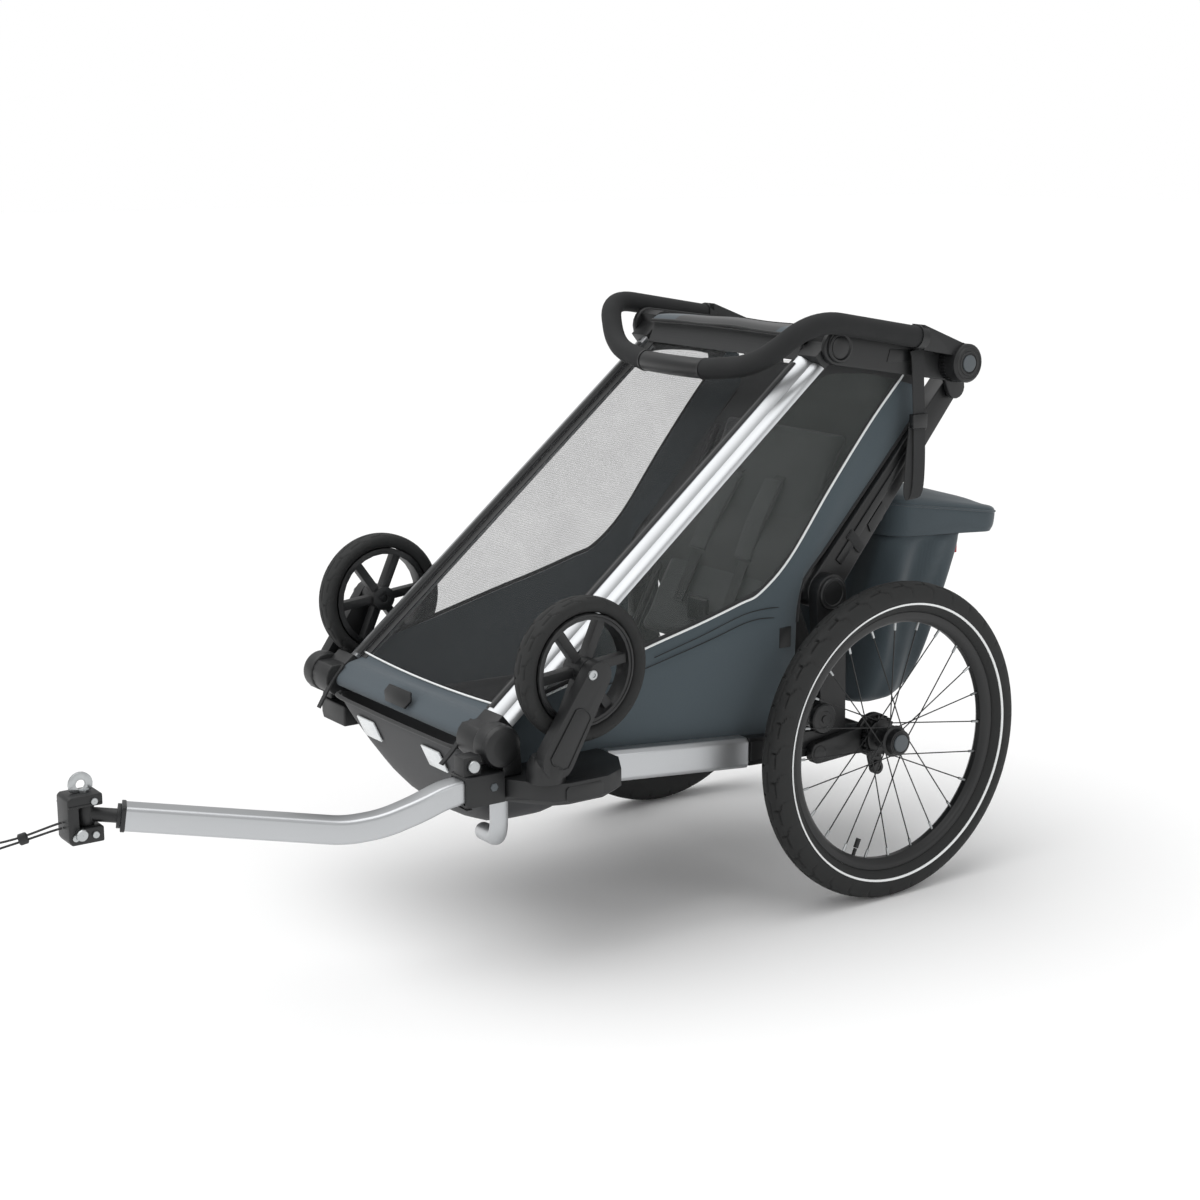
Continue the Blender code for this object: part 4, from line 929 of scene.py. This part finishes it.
def make_cabin_sides():
    """Side walls: polyester below, clear film above, reflective piping between them."""
    piping = flat_line(WINDOW_LOW[1:], 6)
    seam = flat_line(WINDOW_LOW, 6)
    floor = [(-0.652, 0.300), (-0.490, 0.296), (-0.132, 0.268), (-0.128, 0.452), (-0.1175, 0.500),
             on_post(0.060, 0.0300), on_post(0.335, 0.0205), (0.104, 0.799)]

    def cloth_place(u, w):
        y, z = share_of(seam, u)
        y2, z2 = share_of(floor, u)
        bulge = math.sin(math.pi * w) * math.sin(math.pi * u) ** 0.5 if 0 < u < 1 else 0
        crease = 0.0009 * math.sin(34 * u + 5 * w) * math.sin(math.pi * w)
        return spot(0.2172 + 0.0050 * bulge + crease, y + (y2 - y) * w, z + (z2 - z) * w)

    walls = pair(walled(96, 26, cloth_place, 0.0016), "cabin_side_cloth_{s}", "chassis", "side_fabric",
                 "side_polyester", 60, "cabin_side_{s}")

    top = [on_strut(0.118, -0.0125), on_strut(0.716, -0.0125), (-0.078, 0.8320), (-0.012, 0.8300),
           (0.040, 0.8210), (0.077, 0.8080)]

    def film_place(u, w):
        y, z = share_of(piping, u)
        y2, z2 = share_of(top, u)
        swell = math.sin(math.pi * u) * math.sin(math.pi * w)
        ripple = 0.0016 * math.sin(23 * u - 9 * w) * swell + 0.0008 * math.sin(41 * u + 17 * w) * swell
        return spot(0.2172 - 0.0030 * swell + ripple, y + (y2 - y) * w, z + (z2 - z) * w)

    films = pair(walled(72, 24, film_place, 0.0006), "window_film_{s}", "chassis", "side_fabric",
                 "window_film", 60)

    line = [spot(0.2192, y, z) for y, z in piping]
    pipes = pair(tube(line, 0.0018, 8), "window_piping_{s}", "chassis", *TAPE, 60)
    inner = [spot(0.2176, y + 0.0016, z + 0.0045) for y, z in piping]
    hems = pair(ribbon(inner, 0.006, 0.0010, (0, -0.35, 1), 60), "window_hem_{s}", "chassis", *HEM, 60)
    tracks = (((-0.400, 0.4235), (-0.314, 0.4440), (-0.239, 0.4645), (-0.195, 0.4690), (-0.160, 0.4680)),
              ((-0.560, 0.3790), (-0.400, 0.4130), (-0.300, 0.4350), (-0.220, 0.4540), (-0.160, 0.4520)))
    stitches = [tube([spot(0.2222, y, z) for y, z in flat_line(track, 6)], 0.0007, 6) for track in tracks]
    seams = pair(joined(stitches), "side_seams_{s}", "chassis", "webbing", "stitching_yarn", 60)
    edge_line = [spot(0.2180, *on_strut(0.045 + 0.672 * i / 20, -0.0150)) for i in range(21)]
    pair(tube(edge_line, 0.0030, 10), "strut_edge_piping_{s}", "front_frame", *HEM, 60)
    rear = flat_line([(-0.128, 0.440), (-0.1175, 0.500), on_post(0.060, 0.0310), on_post(0.200, 0.0262),
                      on_post(0.335, 0.0215)], 6)
    rears = pair(tube([spot(0.2185, y, z) for y, z in rear], 0.0028, 10), "rear_edge_piping_{s}", "chassis",
                 *HEM, 60)
    over = ((-0.1190, 0.8060), (-0.0780, 0.8230), (-0.0120, 0.8215), (0.0400, 0.8125), (0.1010, 0.7965))
    upper = smooth_line([spot(0.2186, y, z) for y, z in over], 6)
    hems += pair(ribbon(upper, 0.020, 0.0012, (0, 0.12, 1), 40), "window_top_hem_{s}", "chassis", *HEM, 60)
    tub_rim = flat_line([(-0.640, 0.306), (-0.590, 0.302), (-0.510, 0.300), (-0.440, 0.299), (-0.240, 0.293),
                         (-0.135, 0.289)], 5)
    wall_foot = flat_line([(-0.640, 0.301), (-0.490, 0.297), (-0.300, 0.283), (-0.135, 0.270)], 5)

    def turn_in(u, w):
        y, z = share_of(tub_rim, u)
        y2, z2 = share_of(wall_foot, u)
        return spot(0.1840 + 0.0332 * w, y + (y2 - y) * w, z + (z2 - z) * w - 0.0030 * math.sin(math.pi * w))

    pair(walled(40, 6, turn_in, 0.0012), "floor_edge_cloth_{s}", "chassis", "nose_fabric",
         "coated_nose_cloth", 60)
    tab = box(spot(0.2190, -0.166, 0.404), spot(0.2245, -0.143, 0.436), 0.0010)
    tabs = pair(tab, "side_tab_{s}", "chassis", *MOULDED)
    for piece in walls + films + pipes + hems + seams + rears + tabs:
        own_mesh(piece)


def make_cover():
    """Insect mesh stretched between the struts, with hems and the cloth panel below it."""
    half, low, length = 0.1885, 0.0440, 0.7130

    def crown(u, s):
        return 0.0015 + 0.0035 * math.sin(math.pi * u) * math.sin(math.pi * min(1, max(0, (s - 0.04) / 0.7)))

    def place(u, w):
        s = low + length * w
        return spot(half * (2 * u - 1), *on_strut(s, crown(u, s)))

    net = finish(walled(36, 60, place, 0.0008), "cover_mesh", "front_frame", "dark_fabric", "insect_mesh",
                 60, "front_cover")

    def hem(u, w):
        s = low + length * w
        share = 1 - 0.040 * (1 - u)
        return spot(half * (2 * share - 1), *on_strut(s, 0.0015 + crown(share, s)))

    pair(walled(3, 60, hem, 0.0012), "cover_hem_{s}", "front_frame", *HEM, 60)

    wrap = [on_strut(0.0500, 0.0018), on_strut(0.0385, 0.0030), on_strut(0.0220, 0.0118)]
    for step in range(7):
        turn = math.radians(128 + 15.5 * step)
        wrap.append((FRONT[0] + 0.0122 * math.cos(turn), FRONT[1] + 0.0122 * math.sin(turn)))
    curve = flat_line(wrap, 4)

    def cloth_place(u, w):
        x = half * (2 * u - 1)
        y, z = share_of(curve, w)
        if w < 0.35:
            lift = (0.35 - w) / 0.35 * 0.006 * ((2 * u - 1) ** 2 - 0.5)
            y, z = y + lift * 0.77, z + lift * 0.64
        return spot(x, y, z)

    panel = finish(walled(40, 26, cloth_place, 0.0016), "front_panel_cloth", "front_frame", "panel_fabric",
                   "panel_polyester", 60, "front_panel")
    tab = smooth_line([spot(0.1880, -0.6900, 0.3700), spot(0.1890, -0.7080, 0.3490),
                       spot(0.1860, -0.7240, 0.3280), spot(0.1810, -0.7380, 0.3110)], 5)
    pair(ribbon(tab, 0.0085, 0.0028, (1, 0, 0), 20), "pull_tab_{s}", "front_frame", *WEBBING, 60)
    line = [cloth_place(i / 24, 0) + Vector((0, -0.0012, 0.0018)) for i in range(25)]
    finish(tube(line, 0.0016, 8), "panel_piping", "front_frame", *TAPE, 60)


def make_badge():
    """Plain six-sided badge on the front panel."""
    outline = [(-0.038, 0.0), (-0.030, 0.0125), (0.030, 0.0125), (0.038, 0.0), (0.027, -0.0130),
               (-0.027, -0.0130)]
    clear()
    bpy.ops.mesh.primitive_circle_add(vertices=6, radius=1, fill_type="NGON")
    piece = bpy.context.object
    for vertex, (x, z) in zip(piece.data.vertices, outline):
        vertex.co = (x, 0, z)
    edit(piece)
    bpy.ops.mesh.extrude_region_move(TRANSFORM_OT_translate={"value": (0, -0.0040, 0)})
    outward(piece)
    round_edges(piece, 0.0007, 2)
    lean = Matrix.Rotation(math.radians(-22), 4, "X")
    piece.data.transform(Matrix.Translation(spot(0.004, -0.7020, 0.3640)) @ lean)
    finish(piece, "panel_badge", "front_frame", *PLASTIC)


def make_roof():
    """Roof cloth with two coloured patches, its seams and hem, and the flap down to the cover."""
    ridge = flat_line([(-0.104, 0.8735), (-0.085, 0.8815), (-0.020, 0.8760), (0.050, 0.8550),
                       (0.108, 0.8150)], 6)

    def place(u, w):
        x = -0.186 + 0.372 * u
        y, z = share_of(ridge, w)
        wave = 0.0010 * math.sin(9 * w + 14 * u) * math.sin(math.pi * u)
        return spot(x, y, z - 0.1 * x * x - 0.0015 + wave)

    piece = grid(44, 36, place)
    for material in ("roof_polyester", "panel_polyester"):
        piece.data.materials.append(finishes[material])
    for face in piece.data.polygons:
        x, y = face.center.x, face.center.y - AXLE_Y
        face.material_index = 1 if abs(x) > 0.131 and y < -0.030 else 0
    modify(piece, "SOLIDIFY", thickness=0.0018, offset=0)
    outward(piece)
    roof = finish(piece, "roof_cloth", "top_bracket", "dark_fabric", None, 60, "roof_canopy")
    seams = [tube([place(0.04 + 0.92 * i / 24, w) + Vector((0, 0, 0.0014)) for i in range(25)], 0.0009, 6)
             for w in (0.30, 0.72)]
    finish(joined(seams), "roof_seams", "top_bracket", "dark_fabric", "stitching_yarn")
    hem = tube([place(i / 24, 0.0) + Vector((0, 0, 0.0003)) for i in range(25)], 0.0024, 8)
    finish(hem, "roof_front_hem", "top_bracket", *HEM)
    front = [on_strut(0.7560, 0.0050), on_strut(0.7700, 0.0120), on_strut(0.7860, 0.0225), (-0.1065, 0.8690)]
    curve = flat_line(front, 5)

    def flap(u, w):
        y, z = share_of(curve, w)
        x = -0.1865 + 0.373 * u
        return spot(x, y, z - 0.1 * x * x * w)

    piece = finish(walled(30, 14, flap, 0.0014), "roof_front_flap", "front_frame", "dark_fabric",
                   "roof_polyester", 60)


def make_curtain():
    """Cloth back wall of the cabin, from the tub to the roof."""
    route = [(-0.0400, 0.3010), (-0.0700, 0.3900), (-0.1000, 0.4700), on_post(0.020, 0.0330),
             on_post(0.100, 0.0330), on_post(0.220, 0.0300), on_post(0.320, 0.0250), (0.0950, 0.7950)]
    curve = flat_line(route, 6)

    def place(u, w):
        y, z = share_of(curve, w)
        half = 0.188 + 0.0255 * min(1, max(0, (z - 0.46) / 0.06))
        return spot((2 * u - 1) * half, y, z)

    piece = walled(24, 40, place, 0.0014)
    finish(piece, "cabin_rear_wall", None, "dark_fabric", "lining_polyester", 60)
    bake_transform(piece)


def make_tub():
    """Coated nose and footwell, and the rolled edge across its front."""
    piece = refined("floor_tub", 0)
    modify(piece, "SUBSURF", levels=2, render_levels=2)
    finish(piece, "nose_and_floor_cloth", "chassis", "nose_fabric", "coated_nose_cloth", 60, "floor_tub")
    edge = [(-0.176, -0.702, 0.331), (-0.165, -0.7115, 0.3285), (-0.080, -0.7125, 0.3275),
            (0.0, -0.7128, 0.3272)]
    edge += [(-x, y, z) for x, y, z in reversed(edge[:-1])]
    line = smooth_line([spot(*p) for p in edge], 6)
    finish(tube(line, 0.0032, 10), "nose_edge_roll", "chassis", "nose_fabric", "hem_polyester", 60)


# ---- padded pieces -----------------------------------------------------------------------------
def inflate(piece, voxel, pressure, cap):
    """Remeshes a pad and lets its cloth swell from inside, no further than the cap."""
    modify(piece, "REMESH", mode="VOXEL", voxel_size=voxel)
    before = [v.co.copy() for v in piece.data.vertices]
    pick(piece)
    soft = piece.modifiers.new("cloth", "CLOTH")
    soft.settings.use_pressure = True
    soft.settings.uniform_pressure_force = pressure
    soft.settings.effector_weights.gravity = 0
    soft.settings.quality = 5
    for number in range(1, 21):
        bpy.context.scene.frame_set(number)
    bpy.ops.object.modifier_apply(modifier="cloth")
    for vertex, was in zip(piece.data.vertices, before):
        move = vertex.co - was
        if move.length > cap:
            vertex.co = was + move.normalized() * cap
    modify(piece, "SMOOTH", iterations=3)
    bpy.context.scene.frame_set(1)
    return modify(piece, "SUBSURF", levels=1, render_levels=1)


def make_seat():
    """Inflated cushion and back pad, the harness and the tube behind it."""
    base = slab([(-0.410, 0.268), (-0.184, 0.268), (-0.181, 0.298), (-0.194, 0.308), (-0.392, 0.313),
                 (-0.412, 0.298)], -0.152, 0.152, 0.006)
    inflate(base, 0.006, 4.0, 0.006)
    pad = finish(base, "seat_cushion", "chassis", *SEAT_CLOTH, 60, "seat_base")
    outline = [on_seat_back(0.028, -0.007), on_seat_back(0.420, -0.007), on_seat_back(0.425, 0.003),
               on_seat_back(0.419, 0.008), on_seat_back(0.034, 0.009), on_seat_back(0.027, 0.004)]
    back = slab(outline, -0.146, 0.146, 0.005)
    inflate(back, 0.005, 4.0, 0.005)
    pad = finish(back, "seat_back_pad", "seat_back", *SEAT_CLOTH, 60, "seat_back")

    def harness_line(*places):
        return smooth_line([spot(0.050 + 0.004 * i, *on_seat_back(*place))
                            for i, place in enumerate(places)], 6)

    strap = harness_line((0.330, 0.012), (0.310, 0.020), (0.200, 0.024), (0.090, 0.022))
    pair(ribbon(strap, 0.024, 0.0018, (1, 0, 0), 30), "harness_strap_{s}", "seat_back", *WEBBING, 60)
    pad = ribbon(harness_line((0.320, 0.022), (0.250, 0.028), (0.180, 0.027)), 0.040, 0.009, (1, 0, 0), 20)
    round_edges(pad, 0.003, 3)
    for item in pair(pad, "shoulder_pad_{s}", "seat_back", *SEAT_CLOTH, 60):
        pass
    y, z = on_seat_back(0.085, 0.026)
    buckle = box(spot(-0.024, y - 0.006, z - 0.020), spot(0.024, y + 0.006, z + 0.020), 0.005, 3)
    finish(buckle, "harness_buckle", "seat_back", *PLASTIC)
    frame_line = rounded_line([spot(-0.170, *on_seat_back(0.40)), spot(-0.170, *SEAT), spot(0.170, *SEAT),
                               spot(0.170, *on_seat_back(0.40))], 0.03, 8)
    finish(tube(frame_line, 0.0068, 14), "back_frame_tube", "back_frame", *COATED, 60,
           "back_frame")


def level_lines(levels, steps):
    """Smooth lines through a bag's levels: front edge, rear edge and half width, and the edges' heights."""
    return (smooth_line([(front[0], rear[0], half) for front, rear, half in levels], steps),
            smooth_line([(front[1], rear[1], 0) for front, rear, half in levels], steps))


def make_bag():
    """Cargo bag: a sagging body with an overhanging lid."""
    levels = [((0.069, 0.2615), (0.152, 0.2635), 0.146), ((0.064, 0.278), (0.166, 0.280), 0.162),
              ((0.062, 0.330), (0.186, 0.330), 0.174), ((0.066, 0.430), (0.217, 0.430), 0.184),
              ((0.082, 0.520), (0.252, 0.510), 0.189), ((0.087, 0.542), (0.262, 0.530), 0.191)]

    def ring_point(front, rear, half, share, corner=0.034):
        depth = rear[0] - front[0]
        wide, deep = half - corner, depth - 2 * corner
        quarter = math.pi * corner / 2
        run = share * (4 * wide + 2 * deep + 4 * quarter)
        parts = ((deep, "right"), (quarter, 0), (2 * wide, "rear"), (quarter, 90), (deep, "left"),
                 (quarter, 180), (2 * wide, "front"), (quarter, 270))
        for size, kind in parts:
            if run <= size + 1e-9:
                break
            run -= size
        if kind == "right":
            x, y = half, corner + run
        elif kind == "rear":
            x, y = wide - run, depth
        elif kind == "left":
            x, y = -half, depth - corner - run
        elif kind == "front":
            x, y = -wide + run, 0
        else:
            turn = math.radians(kind) + run / corner
            cx = wide if kind in (0, 270) else -wide
            cy = depth - corner if kind in (0, 90) else corner
            x, y = cx + corner * math.cos(turn), cy + corner * math.sin(turn)
        z = front[1] + (rear[1] - front[1]) * y / depth
        return x, front[0] + y, z

    profile, heights = level_lines(levels, 6)
    rows = len(profile) - 1

    def place(u, w):
        i = round(w * rows)
        shape, height = profile[i], heights[i]
        x, y, z = ring_point((shape.x, height.x), (shape.y, height.y), shape.z, u)
        middle_y = (shape.x + shape.y) / 2
        fold = (0.0048 * math.sin(math.tau * 9 * u + 3.0 * w) + 0.0030 * math.sin(math.tau * 17 * u - 7 * w))
        fold *= math.sin(math.pi * min(1, w * 1.02)) ** 0.7 if 0 < w < 1 else 0
        away = Vector((x, y - middle_y, 0)).normalized()
        belly = 0.005 * math.sin(math.pi * w)
        drop = -0.004 * math.sin(math.pi * w) * abs(math.sin(math.tau * 2 * u))
        return spot(x + away.x * (fold + belly - 0.003), y + away.y * (fold * 0.8 + belly - 0.003), z + drop)

    body = finish(closed_up(grid(200, rows, place)), "cargo_bag_body", "chassis", *BAG_CLOTH, 50, "cargo_bag")

    lid_levels = [((0.0845, 0.5440), (0.3220, 0.5290), 0.1970), ((0.0855, 0.5600), (0.3270, 0.5400), 0.1990),
                  ((0.0880, 0.5960), (0.3290, 0.5600), 0.1995), ((0.0930, 0.6060), (0.3255, 0.5680), 0.1960),
                  ((0.1040, 0.6115), (0.3130, 0.5725), 0.1840), ((0.1300, 0.6130), (0.2850, 0.5850), 0.1560),
                  ((0.1900, 0.6060), (0.2260, 0.6000), 0.0900)]
    lid_profile, lid_heights = level_lines(lid_levels, 4)
    lid_rows = len(lid_profile) - 1

    def lid_place(u, w):
        i = round(w * lid_rows)
        shape, height = lid_profile[i], lid_heights[i]
        corner = min(0.034, shape.z * 0.4, (shape.y - shape.x) * 0.45)
        x, y, z = ring_point((shape.x, height.x), (shape.y, height.y), shape.z, u, corner)
        wave = 0.0016 * math.sin(math.tau * 7 * u + 5 * w) * (1 - w)
        dent = 0.003 * math.sin(16 * x + 3) * math.sin(22 * y + 1) * w
        return spot(x * (1 + wave * 2), y + wave * 0.5, z + dent)

    lid = finish(closed_up(grid(160, lid_rows, lid_place)), "cargo_bag_lid", "chassis", *BAG_CLOTH, 50)
    rim = [lid_place(i / 120, 0.34) for i in range(120)]
    middle = sum(rim, Vector()) / len(rim)
    rim = [p + Vector((p.x - middle.x, p.y - middle.y, 0)).normalized() * 0.0006 for p in rim]
    roll = finish(tube(rim, 0.0018, 8, closed=True, caps=False), "lid_edge_roll", "chassis", *BAG_CLOTH, 60)
    tag = box(spot(0.150, 0.2630, 0.492), spot(0.154, 0.2720, 0.520), 0.0006, 1)
    tag = finish(tag, "bag_red_tag", "chassis", "side_fabric", "red_label")
    for piece in (body, lid, roll, tag):
        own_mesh(piece)


def make_straps():
    """Webbing that ties the folded frame, hanging from the bracket, and the trim on the rear posts."""
    trim = [on_post(0.050, 0.0120), on_post(0.300, 0.0100), on_post(0.312, 0.0070), on_post(0.312, -0.0010),
            on_post(0.050, -0.0020)]
    pair(slab(trim, POST_FACE, POST_FACE + 0.0034, 0.0010), "rear_post_rail_{s}", "rear_frame", *PLASTIC)
    catch = [on_post(0.128, -0.0040), on_post(0.122, -0.0170), on_post(0.150, -0.0230),
             on_post(0.168, -0.0190), on_post(0.172, -0.0040)]
    pair(slab(catch, POST_FACE, POST_FACE + 0.0030, 0.0010), "rear_post_catch_{s}", "rear_frame", *MOULDED)
    band = [on_post(0.088, 0.0170), on_post(0.104, 0.0165), on_post(0.100, -0.0200), on_post(0.084, -0.0200)]
    pair(slab(band, POST_FACE, POST_FACE + 0.0042, 0.0008), "rear_post_band_{s}", "rear_frame", *WEBBING)
    drop = [spot(0.2510, 0.072, 0.8440), spot(0.2530, 0.074, 0.8300), spot(0.2520, 0.078, 0.7900),
            spot(0.2500, 0.084, 0.7350), spot(0.2490, 0.088, 0.6700), spot(0.2490, 0.086, 0.6280),
            spot(0.2480, 0.078, 0.6130), spot(0.2465, 0.072, 0.6260), spot(0.2460, 0.074, 0.6700),
            spot(0.2460, 0.080, 0.7350)]
    strap = ribbon(smooth_line(drop, 8), 0.024, 0.0016, (0, 1, 0.1), 70)
    pair(strap, "parking_strap_{s}", "top_bracket", *WEBBING, 60)
    keeper = box(spot(0.2440, 0.068, 0.724), spot(0.2550, 0.098, 0.746), 0.0018)
    pair(keeper, "strap_keeper_{s}", "top_bracket", *PLASTIC)


# ---- stage -------------------------------------------------------------------------------------
def make_stage(light):
    """Pale floor, white surroundings, a broad overhead light, two soft lamps and the camera."""
    scene = bpy.context.scene
    scene.view_settings.view_transform = "Standard"
    clear()
    bpy.ops.mesh.primitive_grid_add(x_subdivisions=4, y_subdivisions=4, size=60, location=(0, 0, 0))
    floor = bpy.context.object
    floor.name = "floor"
    made, tree, shader, place = start("studio_floor")
    shader.inputs["Base Color"].default_value = srgb("FAFAFA")
    shader.inputs["Roughness"].default_value = 0.9
    floor.data.materials.append(made)
    world = bpy.data.worlds.new("studio")
    scene.world = world
    world.use_nodes = True
    tree = world.node_tree
    lit = tree.nodes["Background"]
    lit.inputs["Color"].default_value = (1, 1, 1, 1)
    lit.inputs["Strength"].default_value = light.sky
    seen = add(tree, "ShaderNodeBackground", {"Color": (1, 1, 1, 1), "Strength": 1.0})
    path = add(tree, "ShaderNodeLightPath")
    both = add(tree, "ShaderNodeMixShader", {}, {0: path.outputs["Is Camera Ray"], 1: lit.outputs[0],
                                                 2: seen.outputs[0]})
    tree.links.new(both.outputs[0], tree.nodes["World Output"].inputs["Surface"])
    for name, kind, place, size, power in (("overhead", "SUN", (-0.6, -0.9, 3.6), 70, light.key),
                                           ("side", "AREA", (3.4, 0.6, 2.0), 1.6, light.side),
                                           ("front", "AREA", (0.4, -3.6, 1.8), 1.8, light.front)):
        lamp = bpy.data.lights.new(name, kind)
        if kind == "SUN":
            lamp.angle = math.radians(size)
        else:
            lamp.size = size
        lamp.energy = power
        item = bpy.data.objects.new(name, lamp)
        item.location = place
        item.rotation_euler = (Vector((0, 0, 0.4)) - Vector(place)).to_track_quat("-Z", "Y").to_euler()
        scene.collection.objects.link(item)
    view = bpy.data.cameras.new("camera")
    view.lens = 62.46
    view.sensor_width = 36
    view.clip_end = 200
    item = bpy.data.objects.new("camera", view)
    item.location = (2.5727, -1.6960, 1.1591)
    item.rotation_euler = (math.radians(77.5), 0, math.radians(54.82))
    scene.collection.objects.link(item)
    scene.camera = item


# ---- add-on ------------------------------------------------------------------------------------
class TrailerColours(bpy.types.PropertyGroup):
    side_cloth: bpy.props.StringProperty(
        name="Side cloth", description="sRGB hex of the side walls", default="3F4A50")
    panel_cloth: bpy.props.StringProperty(
        name="Panel cloth", description="sRGB hex of the front panel", default="3E4950")
    bag_cloth: bpy.props.StringProperty(
        name="Bag cloth", description="sRGB hex of the cargo bag", default="39444A")
    nose_cloth: bpy.props.StringProperty(
        name="Nose cloth", description="sRGB hex of the coated nose", default="2E2F31")


class TrailerSizes(bpy.types.PropertyGroup):
    edge: bpy.props.FloatProperty(
        name="Edge rounding", description="Share of each moulding's own edge radius", default=1.0, min=0.2,
        max=1.5, subtype="FACTOR")


class TrailerLight(bpy.types.PropertyGroup):
    sky: bpy.props.FloatProperty(
        name="Sky", description="Strength of the white surroundings", default=0.62, min=0)
    key: bpy.props.FloatProperty(
        name="Overhead", description="Strength of the broad overhead light", default=1.6, min=0)
    side: bpy.props.FloatProperty(
        name="Side", description="Power of the side light in watts", default=12, min=0)
    front: bpy.props.FloatProperty(
        name="Front", description="Power of the front light in watts", default=12, min=0)


def operator(name, label, text, *makers, settings=None):
    """An operator class that runs makers from above, with one of the scene's settings if they need it."""
    def execute(self, context):
        for maker in makers:
            maker(*([getattr(context.scene, settings)] if settings else []))
        clear()
        return {"FINISHED"}

    return type("TRAILER_OT_" + name, (bpy.types.Operator,),
                {"bl_idname": "trailer." + name, "bl_label": label, "__doc__": text, "execute": execute})


OPERATORS = (
    operator("stage", "Stage", "Floor, lights and camera", make_stage, settings="trailer_light"),
    operator("finishes", "Finishes", "All materials", make_finishes, settings="trailer_colours"),
    operator("mouldings", "Mouldings", "Plastic mouldings and castings", make_mouldings,
             settings="trailer_sizes"),
    operator("cord", "Safety cord", "The hitch's safety cord", make_cord),
    operator("struts", "Struts", "Front struts and foot bow", make_struts),
    operator("caps", "Joint caps", "Round covers on the frame's joints", make_caps),
    operator("handlebar", "Handlebar", "Foam bar and sleeve", make_handlebar),
    operator("wheels", "Main wheels", "Tyres, rims, hubs and spokes", make_wheels),
    operator("suspension", "Suspension", "Suspension and brake details", make_suspension),
    operator("stroller_wheels", "Stroller wheels", "Stowed wheels", make_stroller_wheels),
    operator("tow_arm", "Tow arm", "Tow arm and hitch", make_tow_arm),
    operator("cabin_sides", "Cabin sides", "Side walls and windows", make_cabin_sides),
    operator("cover", "Front cover", "Mesh cover and panel", make_cover, make_badge),
    operator("roof", "Roof", "Roof cloth", make_roof),
    operator("rear_wall", "Rear wall", "Cabin back wall", make_curtain),
    operator("tub", "Floor tub", "Nose and floor", make_tub),
    operator("seat", "Seat", "Seat pads and harness", make_seat),
    operator("bag", "Cargo bag", "Cargo bag and lid", make_bag),
    operator("straps", "Straps", "Webbing straps", make_straps),
)


class TRAILER_PT_panel(bpy.types.Panel):
    """Lists the trailer's makers."""
    bl_label = "Child bicycle trailer"
    bl_idname = "TRAILER_PT_panel"
    bl_space_type = "VIEW_3D"
    bl_region_type = "UI"
    bl_category = "Trailer"

    def draw(self, context):
        for made in OPERATORS:
            self.layout.operator(made.bl_idname)


CLASSES = (TrailerColours, TrailerSizes, TrailerLight, *OPERATORS, TRAILER_PT_panel)


def register():
    for made in CLASSES:
        bpy.utils.register_class(made)
    bpy.types.Scene.trailer_colours = bpy.props.PointerProperty(type=TrailerColours)
    bpy.types.Scene.trailer_sizes = bpy.props.PointerProperty(type=TrailerSizes)
    bpy.types.Scene.trailer_light = bpy.props.PointerProperty(type=TrailerLight)


def unregister():
    del bpy.types.Scene.trailer_light
    del bpy.types.Scene.trailer_sizes
    del bpy.types.Scene.trailer_colours
    for made in reversed(CLASSES):
        bpy.utils.unregister_class(made)


def main():
    register()
    for made in OPERATORS:
        name = made.bl_idname.split(".")[1]
        getattr(bpy.ops.trailer, name)()
    bpy.context.view_layer.update()


if __name__ == "__main__":
    main()
